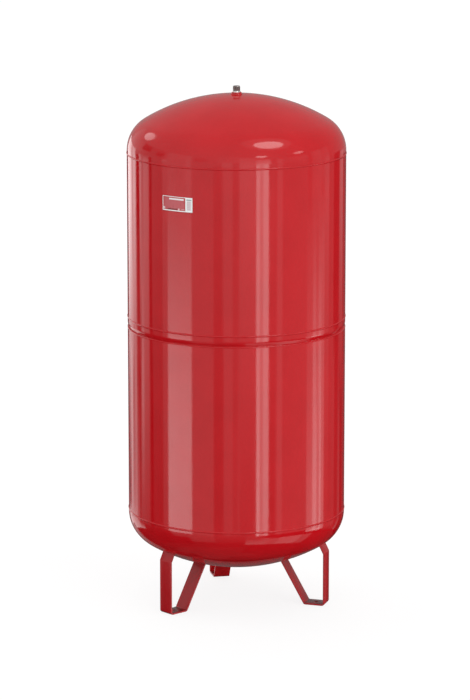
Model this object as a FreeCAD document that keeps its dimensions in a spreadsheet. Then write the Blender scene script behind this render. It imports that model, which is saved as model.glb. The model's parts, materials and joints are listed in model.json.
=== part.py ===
import FreeCAD, Part
import math
import os

import Sketcher

# Floor-standing expansion tank for a heating circuit. A welded steel vessel stands on three folded
# flat-bar feet. A rubber diaphragm, held in the waist, parts the water above from the gas below.
# The water enters by the threaded nipple on top, and the gas by a small valve under the lower head.
#
# Frame: millimetres, +Z up, origin on the floor on the vessel's axis. The rear foot points to +Y.

# Driving dimensions: name, value in millimetres or degrees, and what it sets.
SIZES = [
    ("shell_radius", 395, "outside radius of the rolled shells and of the heads"),
    ("wall", 3, "thickness of shells, heads and waist ring"),
    ("lower_seam_height", 345, "floor to the joint of lower head and lower shell"),
    ("lower_shell_length", 677.5, "lower shell, from its head to its open rim"),
    ("waist_band", 38.5, "height of the waist ring that shows between the shells"),
    ("upper_shell_length", 597, "upper shell, from the waist ring to its head"),
    ("crown_radius", 648, "outside radius of the shallow middle of a head"),
    ("knuckle_radius", 125, "outside radius of the tight turn at a head's edge"),
    ("head_flange", 10, "straight collar at a head's edge"),
    ("seam_width", 6, "width of a butt weld's cap"),
    ("seam_rise", 1.6, "how far a butt weld's cap stands out of the plate"),
    ("plate_seam_rise", 1.2, "the same for the upright seams of the shells"),
    ("upper_seam_azimuth", 50, "azimuth of the upper shell's upright seam"),
    ("lower_seam_azimuth", 115, "azimuth of the lower shell's upright seam"),
    ("ring_collar", 18, "straight part of the waist ring under the upper shell"),
    ("ring_clearance", 0.4, "gap from the waist ring's sleeve to the lower shell"),
    ("ring_knuckle_share", 0.75, "share of the ring's joggle taken by its outer curve"),
    ("rim_weld_leg", 3, "leg of the fillet weld on the lower shell's rim"),
    ("rim_weld_rise", 2.4, "how far that weld's rounded face stands out of its chord"),
    ("rim_gap", 2, "height from the rim to the end of the ring's joggle"),
    ("sleeve_depth", 40, "how far the ring's sleeve reaches into the lower shell"),
    ("ledge_width", 18, "turned-in ledge at the foot of the sleeve"),
    ("ledge_bend", 5, "inside radius of that turn"),
    ("bulb_width", 13, "width of the diaphragm's thick rim"),
    ("bulb_height", 12, "height of the diaphragm's thick rim"),
    ("bulb_rounding", 5, "rounding of the rim's outer lower corner"),
    ("rubber", 3, "thickness of the diaphragm"),
    ("rubber_gap", 1, "space between the diaphragm and the steel it lies along"),
    ("rubber_rise", 60, "height over which the diaphragm spreads out to the shell"),
    ("clamp_height", 20, "height of the clamp ring's upright leg"),
    ("clamp_wall", 3, "thickness of the clamp ring"),
    ("clamp_gap", 0.4, "gap from the clamp ring to the diaphragm's web"),
    ("thread_radius", 13.2, "three-quarter inch pipe thread on the nipple"),
    ("thread_length", 19.5, "length of that thread"),
    ("thread_chamfer", 2, "chamfer at the mouth of the nipple"),
    ("nipple_bore", 7.5, "radius of the water way"),
    ("land_radius", 14, "bare land between the thread and the collar"),
    ("land_height", 4, "height of that land"),
    ("collar_radius", 18, "painted collar that rests on the head"),
    ("collar_height", 7, "height of the collar"),
    ("spigot_gap", 0.2, "gap round a fitting that passes through a head"),
    ("nipple_weld_leg", 3.5, "fillet weld round the nipple's collar"),
    ("socket_radius", 16, "outside radius of the gas valve's socket"),
    ("socket_drop", 6, "how far the socket stands out below the lower head"),
    ("socket_length", 32, "whole length of the socket"),
    ("socket_weld_leg", 3, "fillet weld round the socket"),
    ("recess_radius", 11, "recess in which the gas valve is protected"),
    ("recess_depth", 20, "depth of that recess"),
    ("shank_radius", 6.5, "threaded shank of the valve body"),
    ("shank_gap", 0.1, "gap from the shank to the socket's tapped hole"),
    ("gasket", 1.5, "thickness of the gasket under the valve's hexagon"),
    ("gasket_radius", 9.5, "outside radius of that gasket"),
    ("hexagon_flats", 17, "width of the valve's hexagon across its flats"),
    ("hexagon_height", 4, "height of the hexagon"),
    ("stem_radius", 3.85, "outside radius of the valve stem"),
    ("stem_length", 11.5, "length of the valve stem below the hexagon"),
    ("core_radius", 2.6, "outside radius of the valve core"),
    ("core_gap", 0.1, "gap from the core to the stem's bore"),
    ("core_inset", 0.5, "how deep the core sits inside the stem's mouth"),
    ("core_length", 12.5, "length of the core's body"),
    ("inner_way", 2.2, "radius of the gas way above the core"),
    ("chamber_radius", 1.8, "radius of the core's spring chamber"),
    ("chamber_depth", 8, "depth of the spring chamber"),
    ("pin_radius", 0.7, "radius of the core's pin"),
    ("pin_gap", 0.25, "gap round the pin in the core's bore"),
    ("pin_head_radius", 1.5, "radius of the collar on which the spring bears"),
    ("pin_head_height", 1, "height of that collar"),
    ("pin_head_inset", 1, "depth of the collar inside the core's mouth"),
    ("pin_tip", 1.2, "length of the pin's tip beyond the collar"),
    ("seal_height", 1.3, "thickness of the rubber washer on the pin"),
    ("seal_radius", 1.8, "radius of that washer and of its backing"),
    ("seal_backing", 1, "thickness of the backing at the pin's inner end"),
    ("spring_wire", 0.2, "radius of the spring's wire"),
    ("spring_radius", 1.25, "mean radius of the spring"),
    ("spring_turns", 4.5, "turns of the spring"),
    ("spring_gap", 0.05, "gap from the spring to what it bears on"),
    ("cap_gap", 0.15, "gap from the valve cap to the stem"),
    ("cap_wall", 1.5, "wall of the valve cap"),
    ("cap_height", 11, "height of the valve cap"),
    ("cap_headroom", 0.3, "space between the stem's end and the cap"),
    ("cover_gap", 0.15, "gap from the cover's skirt to the socket"),
    ("cover_wall", 1.8, "wall of the cover's skirt"),
    ("cover_disc", 2.5, "thickness of the cover's disc"),
    ("cover_skirt", 2.4, "height of the skirt that grips the socket"),
    ("bar_width", 60, "width of the feet's flat bar"),
    ("bar_thickness", 6, "thickness of that bar"),
    ("bar_bend", 5, "inside radius of its bends"),
    ("foot_inset", 48, "from the shell's outer face in to a foot's upright leg"),
    ("sole_length", 78.5, "length of a foot's sole on the floor"),
    ("knee_height", 197.5, "height at which the outer leg bends inwards"),
    ("knee_angle", 27, "lean of the short end above the knee, from upright"),
    ("inner_leg_angle", 29.7, "lean of the inner leg, from upright"),
    ("anchor_radius", 6.5, "radius of the floor-fixing hole in each sole"),
    ("anchor_inset", 39, "from a sole's outer end to its fixing hole"),
    ("rear_foot_azimuth", 90, "azimuth of the rear foot"),
    ("foot_spacing_angle", 120, "angle from one foot to the next"),
    ("label_width", 128, "width of the rating label"),
    ("label_height", 56, "height of the rating label"),
    ("label_corner", 4, "corner radius of the rating label"),
    ("label_film", 0.3, "thickness of the rating label"),
    ("label_glue", 0.15, "glue line between the label and the shell"),
    ("label_centre", 1525.5, "height of the label's centre above the floor"),
    ("label_azimuth", -134.3, "azimuth of the label's centre"),
]

document = FreeCAD.newDocument("expansion_tank")


class Size:
    """A length that knows its number and the sheet formula it comes from."""

    def __init__(self, number, formula):
        self.number = float(number)
        self.formula = formula

    def joined(self, other, sign, number):
        return Size(number, "(%s %s %s)" % (self.formula, sign, other.formula))

    def __add__(self, other):
        other = size(other)
        return self.joined(other, "+", self.number + other.number)

    def __sub__(self, other):
        other = size(other)
        return self.joined(other, "-", self.number - other.number)

    def __mul__(self, other):
        other = size(other)
        return self.joined(other, "*", self.number * other.number)

    def __truediv__(self, other):
        other = size(other)
        return self.joined(other, "/", self.number / other.number)

    def __neg__(self):
        return size(0) - self

    def __radd__(self, other):
        return size(other) + self

    def __rsub__(self, other):
        return size(other) - self

    def __rmul__(self, other):
        return size(other) * self


def size(value):
    """Turns a plain number into a Size and leaves a Size as it is."""
    if isinstance(value, Size):
        return value
    return Size(value, repr(float(value)))


def root(value):
    return Size(math.sqrt(value.number), "sqrt(%s)" % value.formula)


def sine(angle):
    return Size(math.sin(math.radians(angle.number)), "sin(%s)" % angle.formula)


def cosine(angle):
    return Size(math.cos(math.radians(angle.number)), "cos(%s)" % angle.formula)


def tangent(angle):
    return Size(math.tan(math.radians(angle.number)), "tan(%s)" % angle.formula)


def write_sheet():
    """Writes the driving dimensions into the sheet and returns them by name."""
    sheet = document.addObject("Spreadsheet::Sheet", "dims")
    sizes = {}
    for row, (name, value, meaning) in enumerate(SIZES, start=1):
        sheet.set("A%d" % row, meaning)
        sheet.set("B%d" % row, str(value))
        sheet.setAlias("B%d" % row, name)
        sizes[name] = Size(value, "dims.%s" % name)
    document.recompute()
    return sizes


dims = write_sheet()

# Azimuth at which pieces are drawn before they are turned to their place, towards -Y.
FRONT_ANGLE = -90

# A hexagon's corners, from the first to the next, in degrees.
FIRST_CORNER_ANGLE = 30
CORNER_STEP_ANGLE = 60

# Headings of a foot's sole and of its upright leg on the way round the bar, in degrees.
DOWNWARDS_ANGLE = 270
OUTWARDS_ANGLE = 360
UPWARDS_ANGLE = 450

# Heights and radii that several pieces share.
radius = dims["shell_radius"]
wall = dims["wall"]
inside = radius - wall
bottom_seam = dims["lower_seam_height"]
rim = bottom_seam + dims["lower_shell_length"]
ring_top = rim + dims["waist_band"]
top_seam = ring_top + dims["upper_shell_length"]
crown = dims["crown_radius"]
knuckle = dims["knuckle_radius"]
flange = dims["head_flange"]
crown_run = crown - knuckle
knuckle_seat = radius - knuckle
crown_drop = root(crown_run * crown_run - knuckle_seat * knuckle_seat)
head_depth = flange + crown - crown_drop
top_point = top_seam + head_depth
low_point = bottom_seam - head_depth
sleeve_radius = inside - dims["ring_clearance"]
foot_reach = radius - dims["foot_inset"]


def place_angle(body, azimuth, drawn_at=0):
    """Turns a body about the vessel's axis, from the azimuth it is drawn at to the one it has."""
    turn = azimuth - drawn_at
    upright = FreeCAD.Rotation(FreeCAD.Vector(0, 0, 1), turn.number)
    body.Placement = FreeCAD.Placement(FreeCAD.Vector(0, 0, 0), upright)
    body.setExpression("Placement.Rotation.Angle", turn.formula)


def new_body(name):
    body = document.addObject("PartDesign::Body", name)
    body.Label = name
    return body


def new_sketch(body, name, role, lift=None):
    """A sketch on one of the body's own origin planes, lifted off it where a height is given."""
    sketch = body.newObject("Sketcher::SketchObject", name)
    for feature in body.Origin.OriginFeatures:
        if feature.Role == role:
            sketch.AttachmentSupport = [(feature, "")]
    sketch.MapMode = "FlatFace"
    if lift is not None:
        sketch.setExpression("AttachmentOffset.Base.z", lift.formula)
    return sketch


def fix_point(sketch, item, point, across, up):
    """Ties one end of a line or arc to its place, by the sheet's formulas."""
    axis_limit = 1e-6
    if abs(across.number) < axis_limit:
        sketch.addConstraint(Sketcher.Constraint("PointOnObject", item, point, -2))
    else:
        index = sketch.addConstraint(Sketcher.Constraint("DistanceX", -1, 1, item, point, across.number))
        sketch.setExpression("Constraints[%d]" % index, across.formula)
    if abs(up.number) < axis_limit:
        sketch.addConstraint(Sketcher.Constraint("PointOnObject", item, point, -1))
    else:
        index = sketch.addConstraint(Sketcher.Constraint("DistanceY", -1, 1, item, point, up.number))
        sketch.setExpression("Constraints[%d]" % index, up.formula)


def arc_between(first, second, arc_radius, side):
    """The short arc from one point to the next. side 1 has its centre to the left of the way."""
    x0, y0 = first
    x1, y1 = second
    chord = math.hypot(x1 - x0, y1 - y0)
    offset = math.sqrt(max(arc_radius * arc_radius - chord * chord / 4, 0))
    centre_x = (x0 + x1) / 2 - side * offset * (y1 - y0) / chord
    centre_y = (y0 + y1) / 2 + side * offset * (x1 - x0) / chord
    start = math.atan2(y0 - centre_y, x0 - centre_x)
    end = math.atan2(y1 - centre_y, x1 - centre_x)
    circle = Part.Circle(FreeCAD.Vector(centre_x, centre_y, 0), FreeCAD.Vector(0, 0, 1), arc_radius)
    if side > 0:
        return Part.ArcOfCircle(circle, start, end)
    return Part.ArcOfCircle(circle, end, start)


class Outline:
    """A closed outline of lines and arcs, whose corners are sheet formulas."""

    def __init__(self, across, up):
        self.corners = [(size(across), size(up))]
        self.steps = []

    def line(self, across, up):
        self.corners.append((size(across), size(up)))
        self.steps.append(None)
        return self

    def arc(self, across, up, arc_radius, side):
        self.corners.append((size(across), size(up)))
        self.steps.append((size(arc_radius), side))
        return self

    def close(self):
        self.steps.append(None)
        return self

    def arc_home(self, arc_radius, side):
        self.steps.append((size(arc_radius), side))
        return self

    def draw(self, sketch):
        """Adds the outline to a sketch and ties every corner and radius to the sheet."""
        count = len(self.steps)
        items = []
        for number, step in enumerate(self.steps):
            first = [value.number for value in self.corners[number]]
            second = [value.number for value in self.corners[(number + 1) % count]]
            if step is None:
                start = FreeCAD.Vector(first[0], first[1], 0)
                end = FreeCAD.Vector(second[0], second[1], 0)
                items.append(sketch.addGeometry(Part.LineSegment(start, end), False))
            else:
                items.append(sketch.addGeometry(arc_between(first, second, step[0].number, step[1]), False))
        for number, step in enumerate(self.steps):
            start_point, end_point = ends_of(step)
            after = (number + 1) % count
            next_start = ends_of(self.steps[after])[0]
            joint = Sketcher.Constraint("Coincident", items[number], end_point, items[after], next_start)
            sketch.addConstraint(joint)
            across, up = self.corners[number]
            fix_point(sketch, items[number], start_point, across, up)
            if step is not None:
                bend = Sketcher.Constraint("Radius", items[number], step[0].number)
                index = sketch.addConstraint(bend)
                sketch.setExpression("Constraints[%d]" % index, step[0].formula)


def ends_of(step):
    """Start and end point numbers of a step. An arc with its centre to the right runs backwards."""
    if step is None or step[1] > 0:
        return 1, 2
    return 2, 1


def draw_circle(sketch, across, up, circle_radius):
    centre = FreeCAD.Vector(across.number, up.number, 0)
    circle = Part.Circle(centre, FreeCAD.Vector(0, 0, 1), circle_radius.number)
    item = sketch.addGeometry(circle, False)
    fix_point(sketch, item, 3, across, up)
    index = sketch.addConstraint(Sketcher.Constraint("Radius", item, circle_radius.number))
    sketch.setExpression("Constraints[%d]" % index, circle_radius.formula)


def draw_sketch(body, name, outline, role="XZ_Plane", lift=None):
    sketch = new_sketch(body, name, role, lift)
    outline.draw(sketch)
    return sketch


def turn_profile(body, outline, kind="Revolution", name="turning"):
    """Adds or, as a Groove, cuts the outline turned all round the vessel's axis."""
    sketch = draw_sketch(body, name + "_profile", outline)
    feature = body.newObject("PartDesign::" + kind, name)
    feature.Profile = sketch
    feature.ReferenceAxis = (sketch, ["V_Axis"])
    feature.Angle = 360
    body.Tip = feature
    document.recompute()
    return feature


def band_outline(near, far, low, high):
    """A rectangle between two distances from the axis and two heights."""
    return Outline(near, low).line(far, low).line(far, high).line(near, high).close()


def turned_piece(name, outline):
    body = new_body(name)
    turn_profile(body, outline)
    return body


def pad_profile(body, sketch, length, name, symmetric=False):
    pad = body.newObject("PartDesign::Pad", name)
    pad.Profile = sketch
    if symmetric:
        pad.SideType = "Symmetric"
    pad.setExpression("Length", length.formula)
    body.Tip = pad
    document.recompute()
    return pad


# Heads: a shallow crown, a tighter knuckle and a straight collar, pressed from one round plate.


def knuckle_end(surface_radius, seam, direction):
    """Where knuckle and crown meet, on the outer face or on one that lies further in."""
    centre = seam + direction * (flange - crown_drop)
    across = surface_radius * knuckle_seat / crown_run
    up = centre + direction * (surface_radius * crown_drop / crown_run)
    return across, up


def crown_height(surface_radius, across, seam, direction):
    """Height of a crown's face at a distance from the axis."""
    centre = seam + direction * (flange - crown_drop)
    return centre + direction * root(surface_radius * surface_radius - across * across)


def dished_head(name, seam, direction, hole):
    """A head whose seam lies at one height and which bulges upwards (1) or downwards (-1)."""
    collar_end = seam + direction * flange
    outer_turn = knuckle_end(crown, seam, direction)
    inner_crown = crown - wall
    inner_turn = knuckle_end(inner_crown, seam, direction)
    outline = Outline(radius, seam)
    outline.line(radius, collar_end)
    outline.arc(*outer_turn, knuckle, direction)
    outline.arc(hole, crown_height(crown, hole, seam, direction), crown, direction)
    outline.line(hole, crown_height(inner_crown, hole, seam, direction))
    outline.arc(*inner_turn, inner_crown, -direction)
    outline.arc(inside, collar_end, knuckle - wall, -direction)
    outline.line(inside, seam)
    outline.close()
    return turned_piece(name, outline)


def make_heads():
    nipple_hole = dims["land_radius"] + dims["spigot_gap"]
    socket_hole = dims["socket_radius"] + dims["spigot_gap"]
    dished_head("upper_head", top_seam, 1, nipple_hole)
    dished_head("lower_head", bottom_seam, -1, socket_hole)


# Rolled shells, with the upright seam that closes each rolled plate.


def make_shell(name, low, high):
    turned_piece(name, band_outline(inside, radius, low, high))


def make_plate_seam(name, low, high, azimuth):
    """The cap of the upright weld. It is drawn at the front, towards -Y, and turned to its place."""
    half = dims["seam_width"] / 2
    face = root(radius * radius - half * half)
    rise = radius + dims["plate_seam_rise"] - face
    cap_radius = (half * half + rise * rise) / (rise * 2)
    body = new_body(name)
    outline = Outline(half, -face)
    outline.arc(-half, -face, radius, -1)
    outline.arc_home(cap_radius, 1)
    sketch = draw_sketch(body, "cap_profile", outline, "XY_Plane", low)
    pad_profile(body, sketch, high - low, "cap")
    place_angle(body, azimuth, FRONT_ANGLE)


def make_shells():
    clear = dims["seam_width"] / 2
    make_shell("lower_shell", bottom_seam, rim)
    make_shell("upper_shell", ring_top, top_seam)
    rim_clear = dims["rim_weld_leg"]
    make_plate_seam("lower_plate_seam", bottom_seam + clear, rim - rim_clear, dims["lower_seam_azimuth"])
    make_plate_seam("upper_plate_seam", ring_top + clear, top_seam - clear, dims["upper_seam_azimuth"])


# The waist ring carries the upper half, slides into the lower shell and holds the diaphragm.


def make_waist_ring():
    joggle_top = ring_top - dims["ring_collar"]
    joggle_end = rim + dims["rim_gap"]
    depth = radius - sleeve_radius
    length = joggle_top - joggle_end
    curves = (length * length + depth * depth) / (depth * 2)
    share = dims["ring_knuckle_share"]
    outer_curve = curves * share
    inner_curve = curves - outer_curve
    middle_across = radius - depth * share
    middle_up = joggle_top - length * share
    sine_lean = length / curves
    cosine_lean = 1 - depth / curves
    sleeve_inside = sleeve_radius - wall
    base = rim - dims["sleeve_depth"]
    bend = dims["ledge_bend"]
    ledge_end = sleeve_radius - dims["ledge_width"]
    outline = Outline(radius, ring_top)
    outline.line(inside, ring_top)
    outline.line(inside, joggle_top)
    outline.arc(middle_across - wall * cosine_lean, middle_up + wall * sine_lean, outer_curve - wall, -1)
    outline.arc(sleeve_inside, joggle_end, inner_curve + wall, 1)
    outline.line(sleeve_inside, base + wall + bend)
    outline.arc(sleeve_inside - bend, base + wall, bend, -1)
    outline.line(ledge_end, base + wall)
    outline.line(ledge_end, base)
    outline.line(sleeve_inside - bend, base)
    outline.arc(sleeve_radius, base + wall + bend, bend + wall, 1)
    outline.line(sleeve_radius, joggle_end)
    outline.arc(middle_across, middle_up, inner_curve, -1)
    outline.arc(radius, joggle_top, outer_curve, 1)
    outline.close()
    turned_piece("waist_ring", outline)


# Welds: butt-weld caps round the seams and a fillet on the lower shell's rim.


def make_seam_cap(name, height):
    half = dims["seam_width"] / 2
    rise = dims["seam_rise"]
    cap_radius = (half * half + rise * rise) / (rise * 2)
    outline = Outline(radius, height - half)
    outline.arc(radius, height + half, cap_radius, 1)
    outline.close()
    turned_piece(name, outline)


def make_rim_weld():
    """A rounded bead from the ring's sleeve over the rim to the lower shell's face."""
    leg = dims["rim_weld_leg"]
    gap = dims["rim_gap"]
    rise = dims["rim_weld_rise"]
    across = radius - sleeve_radius
    half_chord_squared = (across * across + (leg + gap) * (leg + gap)) / 4
    outline = Outline(sleeve_radius, rim)
    outline.line(radius, rim)
    outline.line(radius, rim - leg)
    outline.arc(sleeve_radius, rim + gap, (half_chord_squared + rise * rise) / (rise * 2), 1)
    outline.close()
    turned_piece("rim_weld", outline)


def make_fitting_weld(name, across, leg, seam, direction, fitting_face):
    """A fillet weld between a round fitting and the crown it stands on."""
    outer = across + leg
    outline = Outline(across, crown_height(crown, across, seam, direction))
    outline.line(across, fitting_face)
    outline.line(outer, crown_height(crown, outer, seam, direction))
    outline.arc_home(crown, direction)
    turned_piece(name, outline)


def make_welds():
    make_seam_cap("lower_head_weld", bottom_seam)
    make_seam_cap("upper_head_weld", top_seam)
    make_seam_cap("waist_weld", ring_top)
    make_rim_weld()
    nipple_leg = dims["nipple_weld_leg"]
    socket_leg = dims["socket_weld_leg"]
    make_fitting_weld("nipple_weld", dims["collar_radius"], nipple_leg, top_seam, 1, top_point + nipple_leg)
    make_fitting_weld("socket_weld", dims["socket_radius"], socket_leg, bottom_seam, -1,
                      low_point - socket_leg)


# Diaphragm: a thick rim clamped in the waist and a bag that the gas has pushed up to the top.


def make_diaphragm():
    sleeve_inside = sleeve_radius - wall
    base = rim - dims["sleeve_depth"] + wall
    rubber = dims["rubber"]
    bulb_top = base + dims["bulb_height"]
    bulb_inside = sleeve_inside - dims["bulb_width"]
    web_outside = bulb_inside + rubber
    rounding = dims["bulb_rounding"]
    gap = dims["rubber_gap"]
    spread = ring_top + dims["rubber_rise"]
    start = bulb_top + dims["clamp_wall"] + dims["clamp_height"]
    bag_outside = inside - gap
    bag_inside = bag_outside - rubber
    collar_end = top_seam + flange
    outer_crown = crown - wall - gap
    outer_knuckle = knuckle - wall - gap
    outer_turn = knuckle_end(outer_crown, top_seam, 1)
    inner_turn = knuckle_end(outer_crown - rubber, top_seam, 1)
    outline = Outline(bulb_inside, base)
    outline.line(sleeve_inside - rounding, base)
    outline.arc(sleeve_inside, base + rounding, rounding, 1)
    outline.line(sleeve_inside, bulb_top)
    outline.line(web_outside, bulb_top)
    outline.line(web_outside, start)
    outline.line(bag_outside, spread)
    outline.line(bag_outside, collar_end)
    outline.arc(*outer_turn, outer_knuckle, 1)
    outline.arc(0, crown_height(outer_crown, size(0), top_seam, 1), outer_crown, 1)
    outline.line(0, crown_height(outer_crown - rubber, size(0), top_seam, 1))
    outline.arc(*inner_turn, outer_crown - rubber, -1)
    outline.arc(bag_inside, collar_end, outer_knuckle - rubber, -1)
    outline.line(bag_inside, spread)
    outline.line(bulb_inside, start)
    outline.close()
    turned_piece("diaphragm", outline)


def make_clamp_ring():
    sleeve_inside = sleeve_radius - wall
    low = rim - dims["sleeve_depth"] + wall + dims["bulb_height"]
    clamp_wall = dims["clamp_wall"]
    reach = sleeve_inside - dims["bulb_width"] + dims["rubber"] + dims["clamp_gap"]
    outline = Outline(reach, low)
    outline.line(sleeve_inside, low)
    outline.line(sleeve_inside, low + clamp_wall + dims["clamp_height"])
    outline.line(sleeve_inside - clamp_wall, low + clamp_wall + dims["clamp_height"])
    outline.line(sleeve_inside - clamp_wall, low + clamp_wall)
    outline.line(reach, low + clamp_wall)
    outline.close()
    turned_piece("clamp_ring", outline)


# Water connection: one turned nipple with a collar, a bare land and an outside pipe thread.


def make_nipple():
    bore = dims["nipple_bore"]
    land = dims["land_radius"]
    collar = dims["collar_radius"]
    thread = dims["thread_radius"]
    chamfer = dims["thread_chamfer"]
    collar_top = top_point + dims["collar_height"]
    land_top = collar_top + dims["land_height"]
    mouth = land_top + dims["thread_length"]
    inner_end = top_point - wall
    outline = Outline(bore, inner_end)
    outline.line(land, inner_end)
    outline.line(land, top_point)
    outline.line(collar, top_point)
    outline.line(collar, collar_top)
    outline.line(land, collar_top)
    outline.line(land, land_top)
    outline.line(thread, land_top)
    outline.line(thread, mouth - chamfer)
    outline.line(thread - chamfer, mouth)
    outline.line(bore, mouth)
    outline.close()
    turned_piece("connection_nipple", outline)


# Gas valve, from the socket in the lower head down to the cover. Heights run down from the head.

socket_end = low_point - dims["socket_drop"]
recess_floor = socket_end + dims["recess_depth"]
socket_top = socket_end + dims["socket_length"]
hexagon_top = recess_floor - dims["gasket"]
stem_top = hexagon_top - dims["hexagon_height"]
stem_end = stem_top - dims["stem_length"]
core_end = stem_end + dims["core_inset"]
core_top = core_end + dims["core_length"]
core_hole = dims["core_radius"] + dims["core_gap"]
pin_head_end = core_end + dims["pin_head_inset"]
pin_head_top = pin_head_end + dims["pin_head_height"]
chamber_top = core_end + dims["chamber_depth"]
seal_top = core_top + dims["seal_height"]


def make_socket():
    outer = dims["socket_radius"]
    recess = dims["recess_radius"]
    tapped = dims["shank_radius"] + dims["shank_gap"]
    outline = Outline(recess, socket_end)
    outline.line(outer, socket_end)
    outline.line(outer, socket_top)
    outline.line(tapped, socket_top)
    outline.line(tapped, recess_floor)
    outline.line(recess, recess_floor)
    outline.close()
    turned_piece("valve_socket", outline)


def make_gasket():
    shank = dims["shank_radius"] + dims["shank_gap"]
    edge = dims["gasket_radius"]
    turned_piece("valve_gasket", band_outline(shank, edge, hexagon_top, recess_floor))


def make_valve_body():
    """A turned body with a stem below and a shank above, and a hexagon between them."""
    body = new_body("valve_body")
    stem = dims["stem_radius"]
    shank = dims["shank_radius"]
    way = dims["inner_way"]
    outline = Outline(core_hole, stem_end)
    outline.line(stem, stem_end)
    outline.line(stem, hexagon_top)
    outline.line(shank, hexagon_top)
    outline.line(shank, socket_top)
    outline.line(way, socket_top)
    outline.line(way, core_top)
    outline.line(core_hole, core_top)
    outline.close()
    turn_profile(body, outline)
    sketch = new_sketch(body, "hexagon_profile", "XY_Plane", stem_top)
    corner = dims["hexagon_flats"] / 2 / cosine(size(FIRST_CORNER_ANGLE))
    draw_hexagon(sketch, corner)
    draw_circle(sketch, size(0), size(0), core_hole)
    pad_profile(body, sketch, dims["hexagon_height"], "hexagon")


def draw_hexagon(sketch, corner):
    """Six lines through the corners of a regular hexagon about the origin."""
    points = []
    for number in range(6):
        angle = size(CORNER_STEP_ANGLE * number + FIRST_CORNER_ANGLE)
        points.append((corner * cosine(angle), corner * sine(angle)))
    outline = Outline(*points[0])
    for point in points[1:]:
        outline.line(*point)
    outline.close()
    outline.draw(sketch)


def make_core():
    """The core's body: a barrel with a spring chamber below and a narrow bore above."""
    outer = dims["core_radius"]
    bore = dims["pin_radius"] + dims["pin_gap"]
    chamber = dims["chamber_radius"]
    outline = Outline(chamber, core_end)
    outline.line(outer, core_end)
    outline.line(outer, core_top)
    outline.line(bore, core_top)
    outline.line(bore, chamber_top)
    outline.line(chamber, chamber_top)
    outline.close()
    turned_piece("core_barrel", outline)


def make_core_pin():
    pin = dims["pin_radius"]
    head = dims["pin_head_radius"]
    backing = dims["seal_radius"]
    tip = pin_head_end - dims["pin_tip"]
    outline = Outline(0, tip)
    outline.line(pin, tip)
    outline.line(pin, pin_head_end)
    outline.line(head, pin_head_end)
    outline.line(head, pin_head_top)
    outline.line(pin, pin_head_top)
    outline.line(pin, seal_top)
    outline.line(backing, seal_top)
    outline.line(backing, seal_top + dims["seal_backing"])
    outline.line(0, seal_top + dims["seal_backing"])
    outline.close()
    turned_piece("core_pin", outline)


def make_core_seal():
    pin = dims["pin_radius"]
    edge = dims["seal_radius"]
    turned_piece("core_seal", band_outline(pin, edge, core_top, seal_top))


def make_core_spring():
    """An open coil of round wire between the pin's collar and the chamber's floor."""
    body = new_body("core_spring")
    sketch = new_sketch(body, "wire_profile", "XZ_Plane")
    wire = dims["spring_wire"]
    room = wire + dims["spring_gap"]
    draw_circle(sketch, dims["spring_radius"], pin_head_top + room, wire)
    helix = body.newObject("PartDesign::AdditiveHelix", "coil")
    helix.Profile = sketch
    helix.ReferenceAxis = (sketch, ["V_Axis"])
    helix.Mode = "height-turns-angle"
    helix.setExpression("Height", (chamber_top - pin_head_top - room * 2).formula)
    helix.setExpression("Turns", dims["spring_turns"].formula)
    body.Tip = helix
    document.recompute()


def make_valve_cap():
    """A screwed cap over the stem, with a closed lower end."""
    bore = dims["stem_radius"] + dims["cap_gap"]
    outer = bore + dims["cap_wall"]
    floor = stem_end - dims["cap_headroom"]
    base = floor - dims["cap_wall"]
    outline = Outline(0, base)
    outline.line(outer, base)
    outline.line(outer, base + dims["cap_height"])
    outline.line(bore, base + dims["cap_height"])
    outline.line(bore, floor)
    outline.line(0, floor)
    outline.close()
    turned_piece("valve_cap", outline)


def make_valve_cover():
    """A push-on cover that closes the recess and grips the outside of the socket."""
    bore = dims["socket_radius"] + dims["cover_gap"]
    outer = bore + dims["cover_wall"]
    base = socket_end - dims["cover_disc"]
    skirt = socket_end + dims["cover_skirt"]
    outline = Outline(0, base)
    outline.line(outer, base)
    outline.line(outer, skirt)
    outline.line(bore, skirt)
    outline.line(bore, socket_end)
    outline.line(0, socket_end)
    outline.close()
    turned_piece("valve_cover", outline)


# Feet: one flat bar each, folded at the toe, the heel and the knee and trimmed to the lower head.


def along(point, heading, distance):
    return point[0] + distance * cosine(heading), point[1] + distance * sine(heading)


def beside(point, heading, distance):
    return point[0] - distance * sine(heading), point[1] + distance * cosine(heading)


def folded_strip(corners, headings, bend, thickness):
    """Outline of a strip folded along a line of corners. The line is the strip's outer face.

    headings holds the direction of each leg in degrees. Every fold turns to the left, and the
    strip's thickness lies to the left of the way.
    """
    outer_bend = bend + thickness
    outer_face = [corners[0]]
    inner_face = [beside(corners[0], headings[0], thickness)]
    for number in range(1, len(headings)):
        half_turn = (headings[number] - headings[number - 1]) / 2
        reach = outer_bend * tangent(half_turn)
        before = along(corners[number], headings[number - 1], -reach)
        after = along(corners[number], headings[number], reach)
        outer_face += [before, after]
        inner_face.append(beside(before, headings[number - 1], thickness))
        inner_face.append(beside(after, headings[number], thickness))
    outer_face.append(corners[-1])
    inner_face.append(beside(corners[-1], headings[-1], thickness))
    outline = Outline(*outer_face[0])
    for number in range(1, len(outer_face)):
        if number % 2 == 0:
            outline.arc(*outer_face[number], outer_bend, 1)
        else:
            outline.line(*outer_face[number])
    outline.line(*inner_face[-1])
    for number in range(len(inner_face) - 2, -1, -1):
        if number % 2 == 1:
            outline.arc(*inner_face[number], bend, -1)
        else:
            outline.line(*inner_face[number])
    return outline.close()


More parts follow.
